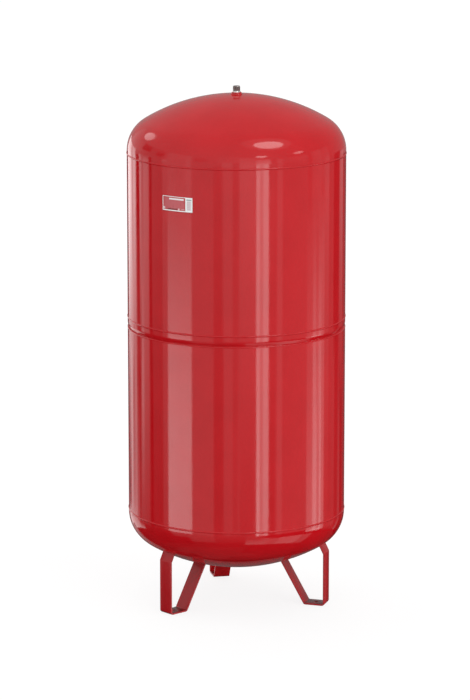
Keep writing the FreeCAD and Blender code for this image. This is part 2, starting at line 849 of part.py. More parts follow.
def foot_outline():
    """The folded bar seen on its edge: down the inner leg, along the floor and up the outer leg.

    Both ends run on into the lower head, which trims them.
    """
    toe = foot_reach - dims["sole_length"]
    knee = dims["knee_height"]
    inner_lean = dims["inner_leg_angle"]
    knee_lean = dims["knee_angle"]
    leg_start = (toe - bottom_seam * tangent(inner_lean), bottom_seam)
    tab_end = (foot_reach - (bottom_seam - knee) * tangent(knee_lean), bottom_seam)
    corners = [leg_start, (toe, size(0)), (foot_reach, size(0)), (foot_reach, knee), tab_end]
    headings = [DOWNWARDS_ANGLE + inner_lean, size(OUTWARDS_ANGLE), size(UPWARDS_ANGLE), UPWARDS_ANGLE + knee_lean]
    return folded_strip(corners, headings, dims["bar_bend"], dims["bar_thickness"])


def head_region():
    """All that lies inside the lower head's outer face, up to the rim of the lower shell."""
    outline = Outline(0, low_point)
    outline.arc(*knuckle_end(crown, bottom_seam, -1), crown, 1)
    outline.arc(radius, bottom_seam - flange, knuckle, 1)
    outline.line(radius, rim)
    outline.line(0, rim)
    return outline.close()


def make_foot(name, azimuth):
    """A foot drawn along +X and turned to its place."""
    body = new_body(name)
    sketch = draw_sketch(body, "bar_profile", foot_outline())
    pad_profile(body, sketch, dims["bar_width"], "bar", symmetric=True)
    turn_profile(body, head_region(), "Groove", "head_trim")
    hole_sketch = new_sketch(body, "anchor_profile", "XY_Plane")
    draw_circle(hole_sketch, foot_reach - dims["anchor_inset"], size(0), dims["anchor_radius"])
    hole = body.newObject("PartDesign::Pocket", "anchor_hole")
    hole.Profile = hole_sketch
    hole.Reversed = True
    hole.setExpression("Length", dims["bar_thickness"].formula)
    body.Tip = hole
    document.recompute()
    place_angle(body, azimuth)


def make_feet():
    rear = dims["rear_foot_azimuth"]
    spacing = dims["foot_spacing_angle"]
    make_foot("foot_rear", rear)
    make_foot("foot_left", rear + spacing)
    make_foot("foot_right", rear - spacing)


# Rating label: a bare film on the upper shell, left of the middle of the front.


def make_label():
    """A thin film with rounded corners, drawn at the front and turned to its place."""
    body = new_body("rating_label")
    half_width = dims["label_width"] / 2
    half_height = dims["label_height"] / 2
    corner = dims["label_corner"]
    centre = dims["label_centre"]
    low = centre - half_height
    high = centre + half_height
    outline = Outline(-half_width + corner, low)
    outline.line(half_width - corner, low)
    outline.arc(half_width, low + corner, corner, 1)
    outline.line(half_width, high - corner)
    outline.arc(half_width - corner, high, corner, 1)
    outline.line(-half_width + corner, high)
    outline.arc(-half_width, high - corner, corner, 1)
    outline.line(-half_width, low + corner)
    outline.arc_home(corner, 1)
    sketch = draw_sketch(body, "film_profile", outline)
    back = radius + dims["label_glue"]
    face = back + dims["label_film"]
    pad_profile(body, sketch, face + corner, "film_block")
    turn_profile(body, band_outline(size(0), back, low - corner, high + corner), "Groove", "shell_side")
    turn_profile(body, band_outline(face, face * 2, low - corner, high + corner), "Groove", "open_side")
    place_angle(body, dims["label_azimuth"], FRONT_ANGLE)


def build_all():
    make_heads()
    make_shells()
    make_waist_ring()
    make_welds()
    make_diaphragm()
    make_clamp_ring()
    make_nipple()
    make_socket()
    make_gasket()
    make_valve_body()
    make_core()
    make_core_pin()
    make_core_seal()
    make_core_spring()
    make_valve_cap()
    make_valve_cover()
    make_feet()
    make_label()


def check_all():
    """Stops where an object has failed or a piece is not one sound solid or more."""
    document.recompute()
    for item in document.Objects:
        if "Invalid" in item.State or "Error" in item.State:
            raise RuntimeError("%s failed: %s" % (item.Name, item.State))
    for body in bodies():
        shape = body.Shape
        if shape.isNull() or not shape.isValid() or not shape.Solids:
            raise RuntimeError("%s has no sound solid" % body.Label)
        box = shape.BoundBox
        print("%-20s %2d solid  %10.1f mm3  r %.1f  z %.2f to %.2f" % (
            body.Label, len(shape.Solids), shape.Volume, max(box.XMax, box.YMax), box.ZMin, box.ZMax))


def bodies():
    return [item for item in document.Objects if item.TypeId == "PartDesign::Body"]


def write_parts():
    os.makedirs("parts", exist_ok=True)
    for body in bodies():
        body.Shape.exportStep("parts/%s.step" % body.Label)


build_all()
check_all()
write_parts()
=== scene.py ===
# %% [markdown]
# # A floor-standing expansion tank
#
# The real object is a welded steel vessel on three folded feet, painted glossy red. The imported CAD
# model gives its sizes and stays as a fixed frame. This script makes a finer skin for the parts
# that show, gives each hidden part its finish, and then lights and frames the tank.

import json
import math

import bmesh
import bpy
from mathutils import Matrix, Vector

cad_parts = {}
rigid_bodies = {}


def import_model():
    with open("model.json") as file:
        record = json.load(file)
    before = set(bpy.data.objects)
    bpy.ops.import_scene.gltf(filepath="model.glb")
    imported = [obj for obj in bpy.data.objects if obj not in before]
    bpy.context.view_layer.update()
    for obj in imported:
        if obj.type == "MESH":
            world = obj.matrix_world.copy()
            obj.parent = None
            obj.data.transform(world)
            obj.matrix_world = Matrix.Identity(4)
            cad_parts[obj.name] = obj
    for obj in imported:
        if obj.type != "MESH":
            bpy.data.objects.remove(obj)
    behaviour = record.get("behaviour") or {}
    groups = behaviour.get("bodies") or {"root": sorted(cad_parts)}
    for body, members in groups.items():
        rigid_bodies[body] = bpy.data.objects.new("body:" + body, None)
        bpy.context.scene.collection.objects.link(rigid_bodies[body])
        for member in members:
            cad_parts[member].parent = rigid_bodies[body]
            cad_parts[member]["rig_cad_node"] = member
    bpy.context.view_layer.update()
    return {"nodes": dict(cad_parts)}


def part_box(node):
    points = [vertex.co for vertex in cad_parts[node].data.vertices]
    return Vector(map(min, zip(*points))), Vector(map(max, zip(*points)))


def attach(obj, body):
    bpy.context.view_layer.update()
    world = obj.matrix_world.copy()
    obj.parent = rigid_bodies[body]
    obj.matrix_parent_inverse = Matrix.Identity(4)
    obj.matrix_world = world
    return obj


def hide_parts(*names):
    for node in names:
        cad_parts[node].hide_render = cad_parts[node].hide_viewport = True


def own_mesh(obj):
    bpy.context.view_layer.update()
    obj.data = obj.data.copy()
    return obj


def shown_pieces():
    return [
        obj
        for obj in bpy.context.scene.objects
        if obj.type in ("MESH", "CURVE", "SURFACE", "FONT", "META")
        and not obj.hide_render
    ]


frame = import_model()
print("nodes in the frame:", len(frame["nodes"]))

# %% [markdown]
# ## Heights and radii
#
# Every piece has to sit where its CAD part sits, so the main heights are read off the frame's boxes
# and not typed in again. They are kept in millimetres, because a tank maker's drawing has them so.

# %% Read the main sizes off the frame
MM = 0.001


def span(node):
    """Lowest height, highest height and largest radius of a CAD part, in millimetres."""
    low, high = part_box(node)
    return round(low.z / MM, 3), round(high.z / MM, 3), round(high.x / MM, 3)


LOWER_SEAM, RIM, RADIUS = span("lower_shell")
RING_TOP, TOP_SEAM = span("upper_shell")[:2]
LOW_POINT = span("lower_head")[0]
WALL = 3.0
print("shell radius", RADIUS, "seams", LOWER_SEAM, RIM, RING_TOP, TOP_SEAM)

# %% [markdown]
# ## A pen for turned pieces
#
# Heads, shells, rings and beads are all round about one upright axis. Their half outline can be
# drawn with a few points and then spun, as a lathe would cut it. The pen below pulls one point
# along: extruding a point draws a line, and spinning a point draws an arc. Three helpers come
# first, since most operators ask for a selection of points, edges and faces.

# %% Selections, and a spin round the tank's axis
CENTRE, UPWARDS = (0, 0, 0), (0, 0, 1)
JOIN = 2e-6


def whole(mesh):
    """All points, edges and faces of a mesh."""
    return mesh.verts[:] + mesh.edges[:] + mesh.faces[:]


def points_in(items):
    """The points among several points, edges and faces."""
    return [item for item in items if isinstance(item, bmesh.types.BMVert)]


def spin_all(mesh, angle, steps, climb=0.0, merge=False):
    """Spins a whole mesh round the upright axis. It climbs by so many metres at each step."""
    bmesh.ops.spin(
        mesh, geom=whole(mesh), cent=CENTRE, axis=UPWARDS, dvec=(0, 0, climb), angle=angle,
        steps=steps, use_merge=merge)


print("points nearer than", JOIN / MM, "mm are joined")

# %% The pen and its lathe


class Pen:
    """Draws a half outline in the XZ plane, in millimetres, and spins it round the tank's axis."""

    def __init__(self, across, up):
        self.mesh = bmesh.new()
        self.first = self.mesh.verts.new((across * MM, 0, up * MM))
        self.tip = self.first

    def line(self, across, up):
        """A straight line to a point."""
        self.tip = bmesh.ops.extrude_vert_indiv(self.mesh, verts=[self.tip])["verts"][0]
        self.tip.co = (across * MM, 0, up * MM)
        return self

    def arc(self, across, up, degrees, steps):
        """Turns about a centre. Positive degrees run anticlockwise as seen from the front."""
        made = bmesh.ops.spin(
            self.mesh, geom=[self.tip], cent=(across * MM, 0, up * MM), axis=(0, -1, 0),
            dvec=(0, 0, 0), angle=math.radians(degrees), steps=steps)
        self.tip = points_in(made["geom_last"])[0]
        return self

    def bulge(self, across, up, rise, steps):
        """An arc to a point, which stands out by rise on the right of the way."""
        start = self.tip.co / MM
        chord = Vector((across - start.x, up - start.z))
        half = chord.length / 2
        left = Vector((-chord.y, chord.x)).normalized()
        reach = (half * half + rise * rise) / (rise * 2) - rise
        centre = Vector((start.x + across, start.z + up)) / 2 + left * reach
        return self.arc(centre.x, centre.y, math.degrees(4 * math.atan(rise / half)), steps)

    def close(self):
        """Joins the last point to the first one."""
        self.mesh.edges.new((self.tip, self.first))
        return self

    def turn(self, steps):
        """Spins one eighth of the way, and then doubles the result three times."""
        spin_all(self.mesh, math.tau / 8, steps // 8)
        for part in (8, 4, 2):
            points = points_in(bmesh.ops.duplicate(self.mesh, geom=whole(self.mesh))["geom"])
            turn = Matrix.Rotation(math.tau / part, 3, "Z")
            bmesh.ops.rotate(self.mesh, cent=CENTRE, matrix=turn, verts=points)
        bmesh.ops.remove_doubles(self.mesh, verts=self.mesh.verts, dist=JOIN)
        return self.mesh


ROUND = 288
print("a turned piece has", ROUND, "sides; each is", round(math.tau * RADIUS / ROUND, 1), "mm wide")

# %% [markdown]
# A finished mesh becomes an object here. Double points are merged, the faces are turned outwards,
# and the shading is smooth except at real edges. The piece then rides on its CAD body and stands
# for the CAD parts that it replaces.

# %% From a mesh to a piece of the tank


def to_object(mesh, name, finish=None):
    """Gives a finished bmesh an object of its own in the scene."""
    data = bpy.data.meshes.new(name)
    mesh.to_mesh(data)
    mesh.free()
    if finish:
        data.materials.append(finish)
    thing = bpy.data.objects.new(name, data)
    bpy.context.scene.collection.objects.link(thing)
    return thing


def make_piece(mesh, name, finish, nodes=(), sharp=32):
    """A piece of the tank, smooth but for edges that turn by more than sharp degrees."""
    bmesh.ops.remove_doubles(mesh, verts=mesh.verts, dist=JOIN)
    bmesh.ops.recalc_face_normals(mesh, faces=mesh.faces)
    for face in mesh.faces:
        face.smooth = True
    piece = to_object(mesh, name, finish)
    piece.data.set_sharp_from_angle(angle=math.radians(sharp))
    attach(piece, "vessel")
    if nodes:
        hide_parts(*nodes)
    print(name, len(piece.data.polygons), "faces")
    return piece


# %% [markdown]
# ## Finishes
#
# A finish is a small recipe of shader nodes. Reading one is easier when the sums look like sums, so
# a class wraps a node's output and lets Python's signs add the Math nodes. Another class adds any
# other kind of node by a single method, and a third one holds a material.

# %% A number on a surface


class Reading:
    """A number that changes over a surface, on which Python's signs work."""

    def __init__(self, recipe, socket):
        self.recipe = recipe
        self.socket = socket

    def joined(self, operation, first, second):
        return self.recipe.node("ShaderNodeMath", {"operation": operation}, {0: first, 1: second})

    def __add__(self, other):
        return self.joined("ADD", self, other)

    def __sub__(self, other):
        return self.joined("SUBTRACT", self, other)

    def __mul__(self, other):
        return self.joined("MULTIPLY", self, other)

    def __truediv__(self, other):
        return self.joined("DIVIDE", self, other)

    def __radd__(self, other):
        return self.joined("ADD", other, self)

    def __rsub__(self, other):
        return self.joined("SUBTRACT", other, self)

    def __rmul__(self, other):
        return self.joined("MULTIPLY", other, self)

    def __rtruediv__(self, other):
        return self.joined("DIVIDE", other, self)

    def size(self):
        """The number without its sign."""
        return self.joined("ABSOLUTE", self, 0)

    def most(self, other):
        """The larger of two numbers."""
        return self.joined("MAXIMUM", self, other)

    def ramp(self, low, high, low_value=0, high_value=1):
        """A soft step: low_value below low and high_value above high."""
        return self.recipe.node(
            "ShaderNodeMapRange", {"interpolation_type": "SMOOTHSTEP", "clamp": True},
            {0: self, 1: low, 2: high, 3: low_value, 4: high_value})


def colour(red, green, blue):
    return (red, green, blue, 1.0)


print("a reading is ready for sums")

# %% A tree of nodes, and a material with its shader


class Recipe:
    """A tree of shader nodes."""

    def __init__(self, tree):
        self.tree = tree

    def feed(self, node, sockets):
        """Sets or links the sockets of a node."""
        for name, value in sockets.items():
            if isinstance(value, Reading):
                self.tree.links.new(value.socket, node.inputs[name])
            else:
                node.inputs[name].default_value = value

    def node(self, kind, settings=None, sockets=None, output=0):
        """Adds a node with its settings and the values or links of its sockets."""
        made = self.tree.nodes.new(kind)
        for name, value in (settings or {}).items():
            setattr(made, name, value)
        self.feed(made, sockets or {})
        return Reading(self, made.outputs[output])


class Finish(Recipe):
    """One material, with its shader and the nodes that feed it."""

    def __init__(self, name, fixed):
        self.material = bpy.data.materials.new(name)
        self.material.use_nodes = True
        super().__init__(self.material.node_tree)
        self.shader = self.tree.nodes["Principled BSDF"]
        self.feed(self.shader, fixed)
        self.place = self.node("ShaderNodeTexCoord", output="Object")

    def axes(self):
        """The three coordinates of a point on the surface, in metres."""
        split = self.node("ShaderNodeSeparateXYZ", sockets={0: self.place}).socket.node
        return [Reading(self, socket) for socket in split.outputs]

    def noise(self, grain, detail=2.0, place=None):
        """Cloudy noise between 0 and 1, whose features are about grain metres wide."""
        sockets = {"Vector": place or self.place, "Scale": 1 / grain, "Detail": detail}
        return self.node("ShaderNodeTexNoise", sockets=sockets)

    def blend(self, share, first, second):
        """Two colours mixed by a share between 0 and 1."""
        return self.node(
            "ShaderNodeMix", {"data_type": "RGBA"}, {0: share, 6: first, 7: second}, output=2)

    def emboss(self, height, depth, under=None):
        """A bump of that depth in metres, laid over another one where there is one."""
        sockets = {"Height": height, "Distance": depth, "Strength": 1.0}
        if under:
            sockets["Normal"] = under
        return self.node("ShaderNodeBump", sockets=sockets)

    def show(self, surface):
        """Shows another shader than the material's first one."""
        self.feed(self.tree.nodes["Material Output"], {"Surface": surface})


print("the recipe classes are ready")

# %% [markdown]
# ### Glossy red paint
#
# The tank is sprayed with a glossy enamel. Close up such paint has a faint orange-peel texture, its
# gloss varies a little, and it is not equally thick everywhere. One recipe serves the plates; the
# welds get one with a livelier surface, because paint on a bead follows the metal's ripples.

# %% The red paint
# Widths in metres of the patches of noise, and the depth of the long waves.
CLOUDS, MOTTLE, PEEL, WAVES, GLOSS_PATCHES = 0.11, 0.009, 0.0026, 0.19, 0.045
WAVE_DEPTH = 0.00012
# A dark red for painted shade on the tops of the feet's soles, under the tank, mottled like scuffs.
SOLE_SHADE_AND_SCUFF = colour(0.09, 0.016, 0.016)


def red_paint(name, peel, gloss, tone=1.0, shaded_scuffed_sole=False):
    """Enamel with that depth of peel, roughness and share of the full red, and painted shade on
    soles if asked.
    """
    finish = Finish(name, {"IOR": 1.5})
    cloud = finish.noise(CLOUDS, detail=3)
    fine = finish.noise(MOTTLE)
    thin, thick = colour(0.462 * tone, 0.0035, 0.0072), colour(0.5 * tone, 0.0048, 0.0092)
    shade = finish.blend((cloud * 0.7 + fine * 0.3).ramp(0.3, 0.7), thin, thick)
    if shaded_scuffed_sole:
        # The tops of the feet's soles and nothing else lie 6 mm above the floor.
        # There the red is darkened as painted shade under the tank, mottled like scuffs.
        height = finish.axes()[2]
        sole_shade_mask = height.ramp(0.0052, 0.0058) * height.ramp(0.0064, 0.0074, 1, 0)
        shade = finish.blend(sole_shade_mask * fine.ramp(0.35, 0.6, 0.45, 1), shade, SOLE_SHADE_AND_SCUFF)
    skin = finish.emboss(finish.noise(PEEL, detail=1), peel)
    skin = finish.emboss(finish.noise(WAVES, detail=1), WAVE_DEPTH, skin)
    patches = finish.noise(GLOSS_PATCHES, detail=3)
    finish.feed(finish.shader, {
        "Base Color": shade,
        "Roughness": patches.ramp(0.25, 0.75, gloss - 0.015, gloss + 0.02),
        "Normal": skin})
    return finish.material


plate_paint = red_paint("glossy_red_paint", peel=0.000008, gloss=0.085)
weld_paint = red_paint("red_paint_on_welds", peel=0.00004, gloss=0.13)
collar_paint = red_paint("red_paint_on_collar", peel=0.00001, gloss=0.1, tone=0.9)
# The front bars get a darker copy of the red and the rear bar a lighter one: painted shade and
# painted light.
shaded_front_bar_paint, lit_rear_bar_paint = [
    red_paint(name, peel=0.00002, gloss=0.2, tone=tone, shaded_scuffed_sole=True)
    for name, tone in (("red_paint_shaded_on_front_bars", 0.83), ("red_paint_lit_on_rear_bar", 1.15))]
print("materials so far:", len(bpy.data.materials))

# %% [markdown]
# ## Dished heads
#
# Each end of the vessel is pressed from one round plate: a shallow crown, a tight knuckle and a
# short straight collar. A scaled sphere would miss the knuckle, so the half outline is drawn with
# its true arcs and spun. The lower head is the same pressing turned upside down.

# %% Draw and spin the two heads
CROWN, KNUCKLE, COLLAR = 648.0, 125.0, 10.0
NIPPLE_HOLE, SOCKET_HOLE = 14.2, 16.2
OUTER_STEPS, INNER_STEPS = 22, 12
crown_drop = math.sqrt((CROWN - KNUCKLE) ** 2 - (RADIUS - KNUCKLE) ** 2)
knuckle_turn = math.degrees(math.atan2(crown_drop, RADIUS - KNUCKLE))
bend = TOP_SEAM + COLLAR
middle = bend - crown_drop
TOP_POINT = middle + CROWN


def dished_head(hole):
    """The upper head's plate with a round hole in its middle."""
    outer_turn = math.degrees(math.acos(hole / CROWN)) - knuckle_turn
    inner_turn = math.degrees(math.acos(hole / (CROWN - WALL))) - knuckle_turn
    inner_up = middle + math.sqrt((CROWN - WALL) ** 2 - hole * hole)
    pen = Pen(RADIUS, TOP_SEAM).line(RADIUS, bend)
    pen.arc(RADIUS - KNUCKLE, bend, knuckle_turn, OUTER_STEPS)
    pen.arc(0, middle, outer_turn, OUTER_STEPS)
    pen.line(hole, inner_up).arc(0, middle, -inner_turn, INNER_STEPS)
    pen.arc(RADIUS - KNUCKLE, bend, -knuckle_turn, INNER_STEPS)
    return pen.line(RADIUS - WALL, TOP_SEAM).close().turn(ROUND)


make_piece(dished_head(NIPPLE_HOLE), "head_top", plate_paint, ["upper_head"])
mesh = dished_head(SOCKET_HOLE)
flip = Matrix.Translation((0, 0, (LOWER_SEAM + TOP_SEAM) * MM)) @ Matrix.Scale(-1, 4, UPWARDS)
bmesh.ops.transform(mesh, matrix=flip, verts=mesh.verts)
make_piece(mesh, "head_bottom", plate_paint, ["lower_head"])
print("top of the crown", round(TOP_POINT, 2), "mm; knuckle", round(knuckle_turn, 1), "degrees")

# %% [markdown]
# ## Rolled shells
#
# The two halves of the body are plates rolled to a tube. Their outline is a thin upright rectangle,
# which the lathe turns into a tube with a wall as thick as the plate.

# %% The two shells


def rolled_shell(low, high):
    """A tube of plate between two heights."""
    pen = Pen(RADIUS - WALL, low).line(RADIUS, low).line(RADIUS, high).line(RADIUS - WALL, high)
    return pen.close().turn(ROUND)


make_piece(rolled_shell(LOWER_SEAM, RIM), "shell_bottom", plate_paint, ["lower_shell"])
make_piece(rolled_shell(RING_TOP, TOP_SEAM), "shell_top", plate_paint, ["upper_shell"])

# %% [markdown]
# ## Waist ring
#
# Between the shells sits a ring that carries the upper half and slides into the lower one, where
# its sleeve is set in by a small joggle. The joggle is what makes the shadow line under the waist,
# so the ring gets its full outline: collar, joggle, sleeve and the ledge that holds the rubber's
# rim.

# %% The waist ring with its joggle and inner ledge
RING_COLLAR, SLEEVE_LENGTH, LEDGE, LEDGE_BEND, SLEEVE_PLAY = 18, 40, 18, 8, 0.4
JOGGLE_TOP = RING_TOP - RING_COLLAR
JOGGLE_END = RIM + 2
SLEEVE = RADIUS - WALL - SLEEVE_PLAY
sleeve_foot, ledge_edge = RIM - SLEEVE_LENGTH, SLEEVE - LEDGE
bend_across, bend_up = SLEEVE - LEDGE_BEND, sleeve_foot + LEDGE_BEND
joggle_depth, joggle_length = RADIUS - SLEEVE, JOGGLE_TOP - JOGGLE_END
curves = (joggle_length ** 2 + joggle_depth ** 2) / (2 * joggle_depth)
joggle_turn = math.degrees(math.asin(joggle_length / curves))
shoulder, hollow = RADIUS - curves * 0.75, SLEEVE + curves * 0.25
pen = Pen(RADIUS - WALL, RING_TOP).line(RADIUS, RING_TOP).line(RADIUS, JOGGLE_TOP)
pen.arc(shoulder, JOGGLE_TOP, -joggle_turn, 8).arc(hollow, JOGGLE_END, joggle_turn, 6)
pen.line(SLEEVE, bend_up).arc(bend_across, bend_up, -90, 8).line(ledge_edge, sleeve_foot)
pen.line(ledge_edge, sleeve_foot + WALL).line(bend_across, sleeve_foot + WALL)
pen.arc(bend_across, bend_up, 90, 8).line(SLEEVE - WALL, JOGGLE_END)
pen.arc(hollow, JOGGLE_END, -joggle_turn, 6).arc(shoulder, JOGGLE_TOP, joggle_turn, 8)
make_piece(pen.close().turn(ROUND), "waist_band", plate_paint, ["waist_ring"])
print("the joggle steps in", round(joggle_depth, 2), "mm over", joggle_length, "mm")

# %% [markdown]
# ## Weld beads
#
# A seam weld stands out as a low rounded bead with a fine ripple, one ripple for each step of the
# torch. A smooth torus would look moulded. The cap's outline is spun in many small steps, and then
# each point is pushed out or in a little by its place along the seam.

# %% Ripples along a seam
RIPPLES, RIPPLE_DEPTH = 416, 0.16


def place_of(point):
    """A point's distance from the tank's axis in millimetres, and its angle round it."""
    return math.hypot(point.co.x, point.co.y) / MM, math.atan2(point.co.y, point.co.x)


def widen(point, share):
    """Multiplies a point's distance from the tank's axis."""
    point.co.x *= share
    point.co.y *= share


def ripple_beads(mesh, root, depth):
    """Pushes points that stand out of the radius root in waves along the seam."""
    for point in mesh.verts:
        across, angle = place_of(point)
        wave = 1 - abs(math.sin(angle * RIPPLES / 2))
        drift = math.sin(angle * 23) + math.sin(angle * 61 + 1.3)
        share = 1 - depth * wave - depth * 0.3 * (drift + 2)
        if across > root:
            widen(point, (root + (across - root) * share) / across)


print("one ripple is", round(math.tau * RADIUS / RIPPLES, 1), "mm long")

# %% Round beads at the seams and on the rim
BEAD_STEPS = RIPPLES * 4
BEAD_HALF, BEAD_RISE = 3.4, 1.8


def seam_bead(name, height, node):
    """The low bead round a seam at that height."""
    foot, head, root = height - BEAD_HALF, height + BEAD_HALF, RADIUS - 0.2
    pen = Pen(root, foot).line(RADIUS, foot).bulge(RADIUS, head, BEAD_RISE, 6).line(root, head)
    mesh = pen.close().turn(BEAD_STEPS)
    ripple_beads(mesh, RADIUS, RIPPLE_DEPTH)
    make_piece(mesh, name, weld_paint, [node], sharp=60)


seam_bead("bead_top", TOP_SEAM, "upper_head_weld")
seam_bead("bead_waist", RING_TOP, "waist_weld")
seam_bead("bead_bottom", LOWER_SEAM, "lower_head_weld")
pen = Pen(SLEEVE, RIM).line(RADIUS, RIM).line(RADIUS, RIM - 3).bulge(SLEEVE, JOGGLE_END, 2.4, 7)
mesh = pen.close().turn(BEAD_STEPS)
ripple_beads(mesh, RADIUS, RIPPLE_DEPTH)
make_piece(mesh, "bead_rim", weld_paint, ["rim_weld"], sharp=60)

# %% [markdown]
# The rolled plates are closed by one upright weld each, on the far side of the tank. The cap of
# such a weld is a low strip. A flat grid is raised to the cap's curve, rippled along its length,
# given a little thickness and turned to its place.

# %% Upright beads of the rolled plates
RIPPLE = 6.0
PLATE_BEAD_HALF, PLATE_BEAD_RISE, PLATE_BEAD_BACK = 3, 1.2, 0.0004


def turn_to(mesh, azimuth):
    """Turns a whole mesh round the upright axis, by degrees."""
    turn = Matrix.Rotation(math.radians(azimuth), 4, "Z")
    bmesh.ops.transform(mesh, matrix=turn, verts=mesh.verts)


def plate_bead(name, node, azimuth):
    """The bead that closes a rolled plate, as tall as its CAD part."""
    low, high = span(node)[:2]
    rows = round((high - low) / RIPPLE) * 4
    mesh = bmesh.new()
    bmesh.ops.create_grid(mesh, x_segments=8, y_segments=rows, size=0.5)
    for point in mesh.verts:
        side = point.co.x * 2
        up = low + (point.co.y + 0.5) * (high - low)
        wave = 1 - abs(math.sin(up * math.pi / RIPPLE))
        ripple = 1 - RIPPLE_DEPTH * wave - 0.05 * (math.sin(up / 31) + 1)
        cap = PLATE_BEAD_RISE * (1 - side * side) * ripple
        face = math.sqrt(RADIUS ** 2 - (PLATE_BEAD_HALF * side) ** 2)
        point.co = (PLATE_BEAD_HALF * side * MM, -(face + cap) * MM, up * MM)
    bmesh.ops.recalc_face_normals(mesh, faces=mesh.faces)
    bmesh.ops.solidify(mesh, geom=mesh.faces[:], thickness=PLATE_BEAD_BACK)
    turn_to(mesh, azimuth + 90)
    make_piece(mesh, name, weld_paint, [node], sharp=60)


plate_bead("bead_upright_top", "upper_plate_seam", azimuth=50)
plate_bead("bead_upright_bottom", "lower_plate_seam", azimuth=115)

# %% [markdown]
# ## Bare steel of the nipple
#
# The water connection is a turned steel nipple that the painter masks. Turned steel keeps fine
# rings from the tool and a satin gloss. The rings run round the axis, so a Mapping node stretches
# the noise sideways and leaves it fine upwards. A few darker marks from handling are mixed in.

# %% Turned and rolled bare steel
RING_SCALE, STAINS, RING_DEPTH = (0.08, 0.08, 1.0), 0.006, 0.00003


def bare_steel(name, dark, light, gloss, rings):
    """Bare metal with tool marks that are about rings metres apart."""
    finish = Finish(name, {"Metallic": 1.0})
    sockets = {"Vector": finish.place, "Scale": RING_SCALE}
    ring = finish.noise(rings, place=finish.node("ShaderNodeMapping", sockets=sockets))
    stain = finish.noise(STAINS, detail=4)
    share = (ring * 0.55 + stain * 0.45).ramp(0.32, 0.66)
    finish.feed(finish.shader, {
        "Base Color": finish.blend(share, dark, light),
        "Roughness": stain.ramp(0.3, 0.7, gloss + 0.12, gloss),
        "Normal": finish.emboss(ring, RING_DEPTH)})
    return finish.material


thread_steel = bare_steel(
    "thread_steel", colour(0.3, 0.26, 0.25), colour(0.5, 0.45, 0.43), gloss=0.42, rings=0.0005)
land_steel = bare_steel(
    "turned_land", colour(0.74, 0.82, 0.8), colour(0.92, 0.97, 0.95), gloss=0.25, rings=0.0006)
ring_steel = bare_steel(
    "rolled_steel", colour(0.3, 0.29, 0.28), colour(0.5, 0.49, 0.47), gloss=0.45, rings=0.003)
print("steels:", thread_steel.name, land_steel.name, ring_steel.name)

# %% [markdown]
# ## The water connection
#
# The nipple has an outside pipe thread, a bare land and a collar that is painted with the vessel.
# Rings would make a poor thread, because a real one climbs. The core is turned on the lathe, and
# one ridge is wound round it: a small section is spun while it rises by the pitch at each turn. Its
# two ends fade into the core, and its crest follows the chamfer at the mouth.

# %% Core of the nipple, with its bore
MOUTH, THREAD_LENGTH = span("connection_nipple")[1], 18
LAND_TOP = MOUTH - THREAD_LENGTH
THREAD_RADIUS, THREAD_PITCH, THREAD_DEPTH = 13.2, 1.814, 1.16
THREAD_ROOT = THREAD_RADIUS - THREAD_DEPTH
BORE, CORE, SMALL_ROUND = 7.5, 13.8, 96
pen = Pen(BORE, TOP_POINT - WALL).line(CORE, TOP_POINT - WALL).line(CORE, LAND_TOP - 0.6)
pen.line(CORE - 0.4, LAND_TOP - 0.2).line(THREAD_ROOT, LAND_TOP - 0.2)
pen.line(THREAD_ROOT, MOUTH - 1.1).line(THREAD_ROOT - 0.8, MOUTH)
pen.line(BORE + 0.6, MOUTH).line(BORE, MOUTH - 0.6)
mesh = pen.close().turn(SMALL_ROUND)
make_piece(mesh, "nipple_core", thread_steel, ["connection_nipple"])

# %% The wound ridge of the thread
TURN_STEPS = 72
CHAMFER_RADIUS, CHAMFER_SLOPE = 12.1, 0.62
turns = THREAD_LENGTH / THREAD_PITCH - 1.15
half_root, half_crest = THREAD_PITCH * 0.47, THREAD_PITCH * 0.1
start_up, sunk = LAND_TOP + half_root + 0.05, THREAD_ROOT - 0.3
ridge = Pen(sunk, start_up - half_root).line(THREAD_ROOT, start_up - half_root)
ridge.line(THREAD_RADIUS, start_up - half_crest).line(THREAD_RADIUS, start_up + half_crest)
ridge.line(THREAD_ROOT, start_up + half_root).line(sunk, start_up + half_root)
mesh = ridge.close().mesh
bmesh.ops.contextual_create(mesh, geom=mesh.edges[:])
climb = THREAD_PITCH * MM / TURN_STEPS
spin_all(mesh, math.tau * turns, round(TURN_STEPS * turns), climb)
for point in mesh.verts:
    across, up = place_of(point)[0], point.co.z / MM
    low_end = min(max((up - LAND_TOP) / (THREAD_PITCH * 0.9), 0), 1)
    crest = min(THREAD_RADIUS, CHAMFER_RADIUS + (MOUTH - up) * CHAMFER_SLOPE)
    if across > THREAD_ROOT + 0.01:
        widen(point, (THREAD_ROOT + max(crest - THREAD_ROOT, 0.02) * low_end) / across)
make_piece(mesh, "nipple_thread", thread_steel, sharp=25)
print("thread:", round(turns, 1), "turns of", THREAD_PITCH, "mm")

# %% [markdown]
# Below the thread a short bright land is left bare. The collar under it was painted together with
# the head, and a light fillet of weld joins the two. All three are turned like the core.

# %% The bright land, the painted collar and its weld
LAND_RADIUS, COLLAR_RADIUS, FILLET_RADIUS = 14, 18, 21.5
COLLAR_TOP, COLLAR_EDGE = TOP_POINT + 8.2, 0.8


def crown_sag(across):
    """How far a crown has curved away from its tip at that distance from the axis."""
    return CROWN - math.sqrt(CROWN ** 2 - across ** 2)


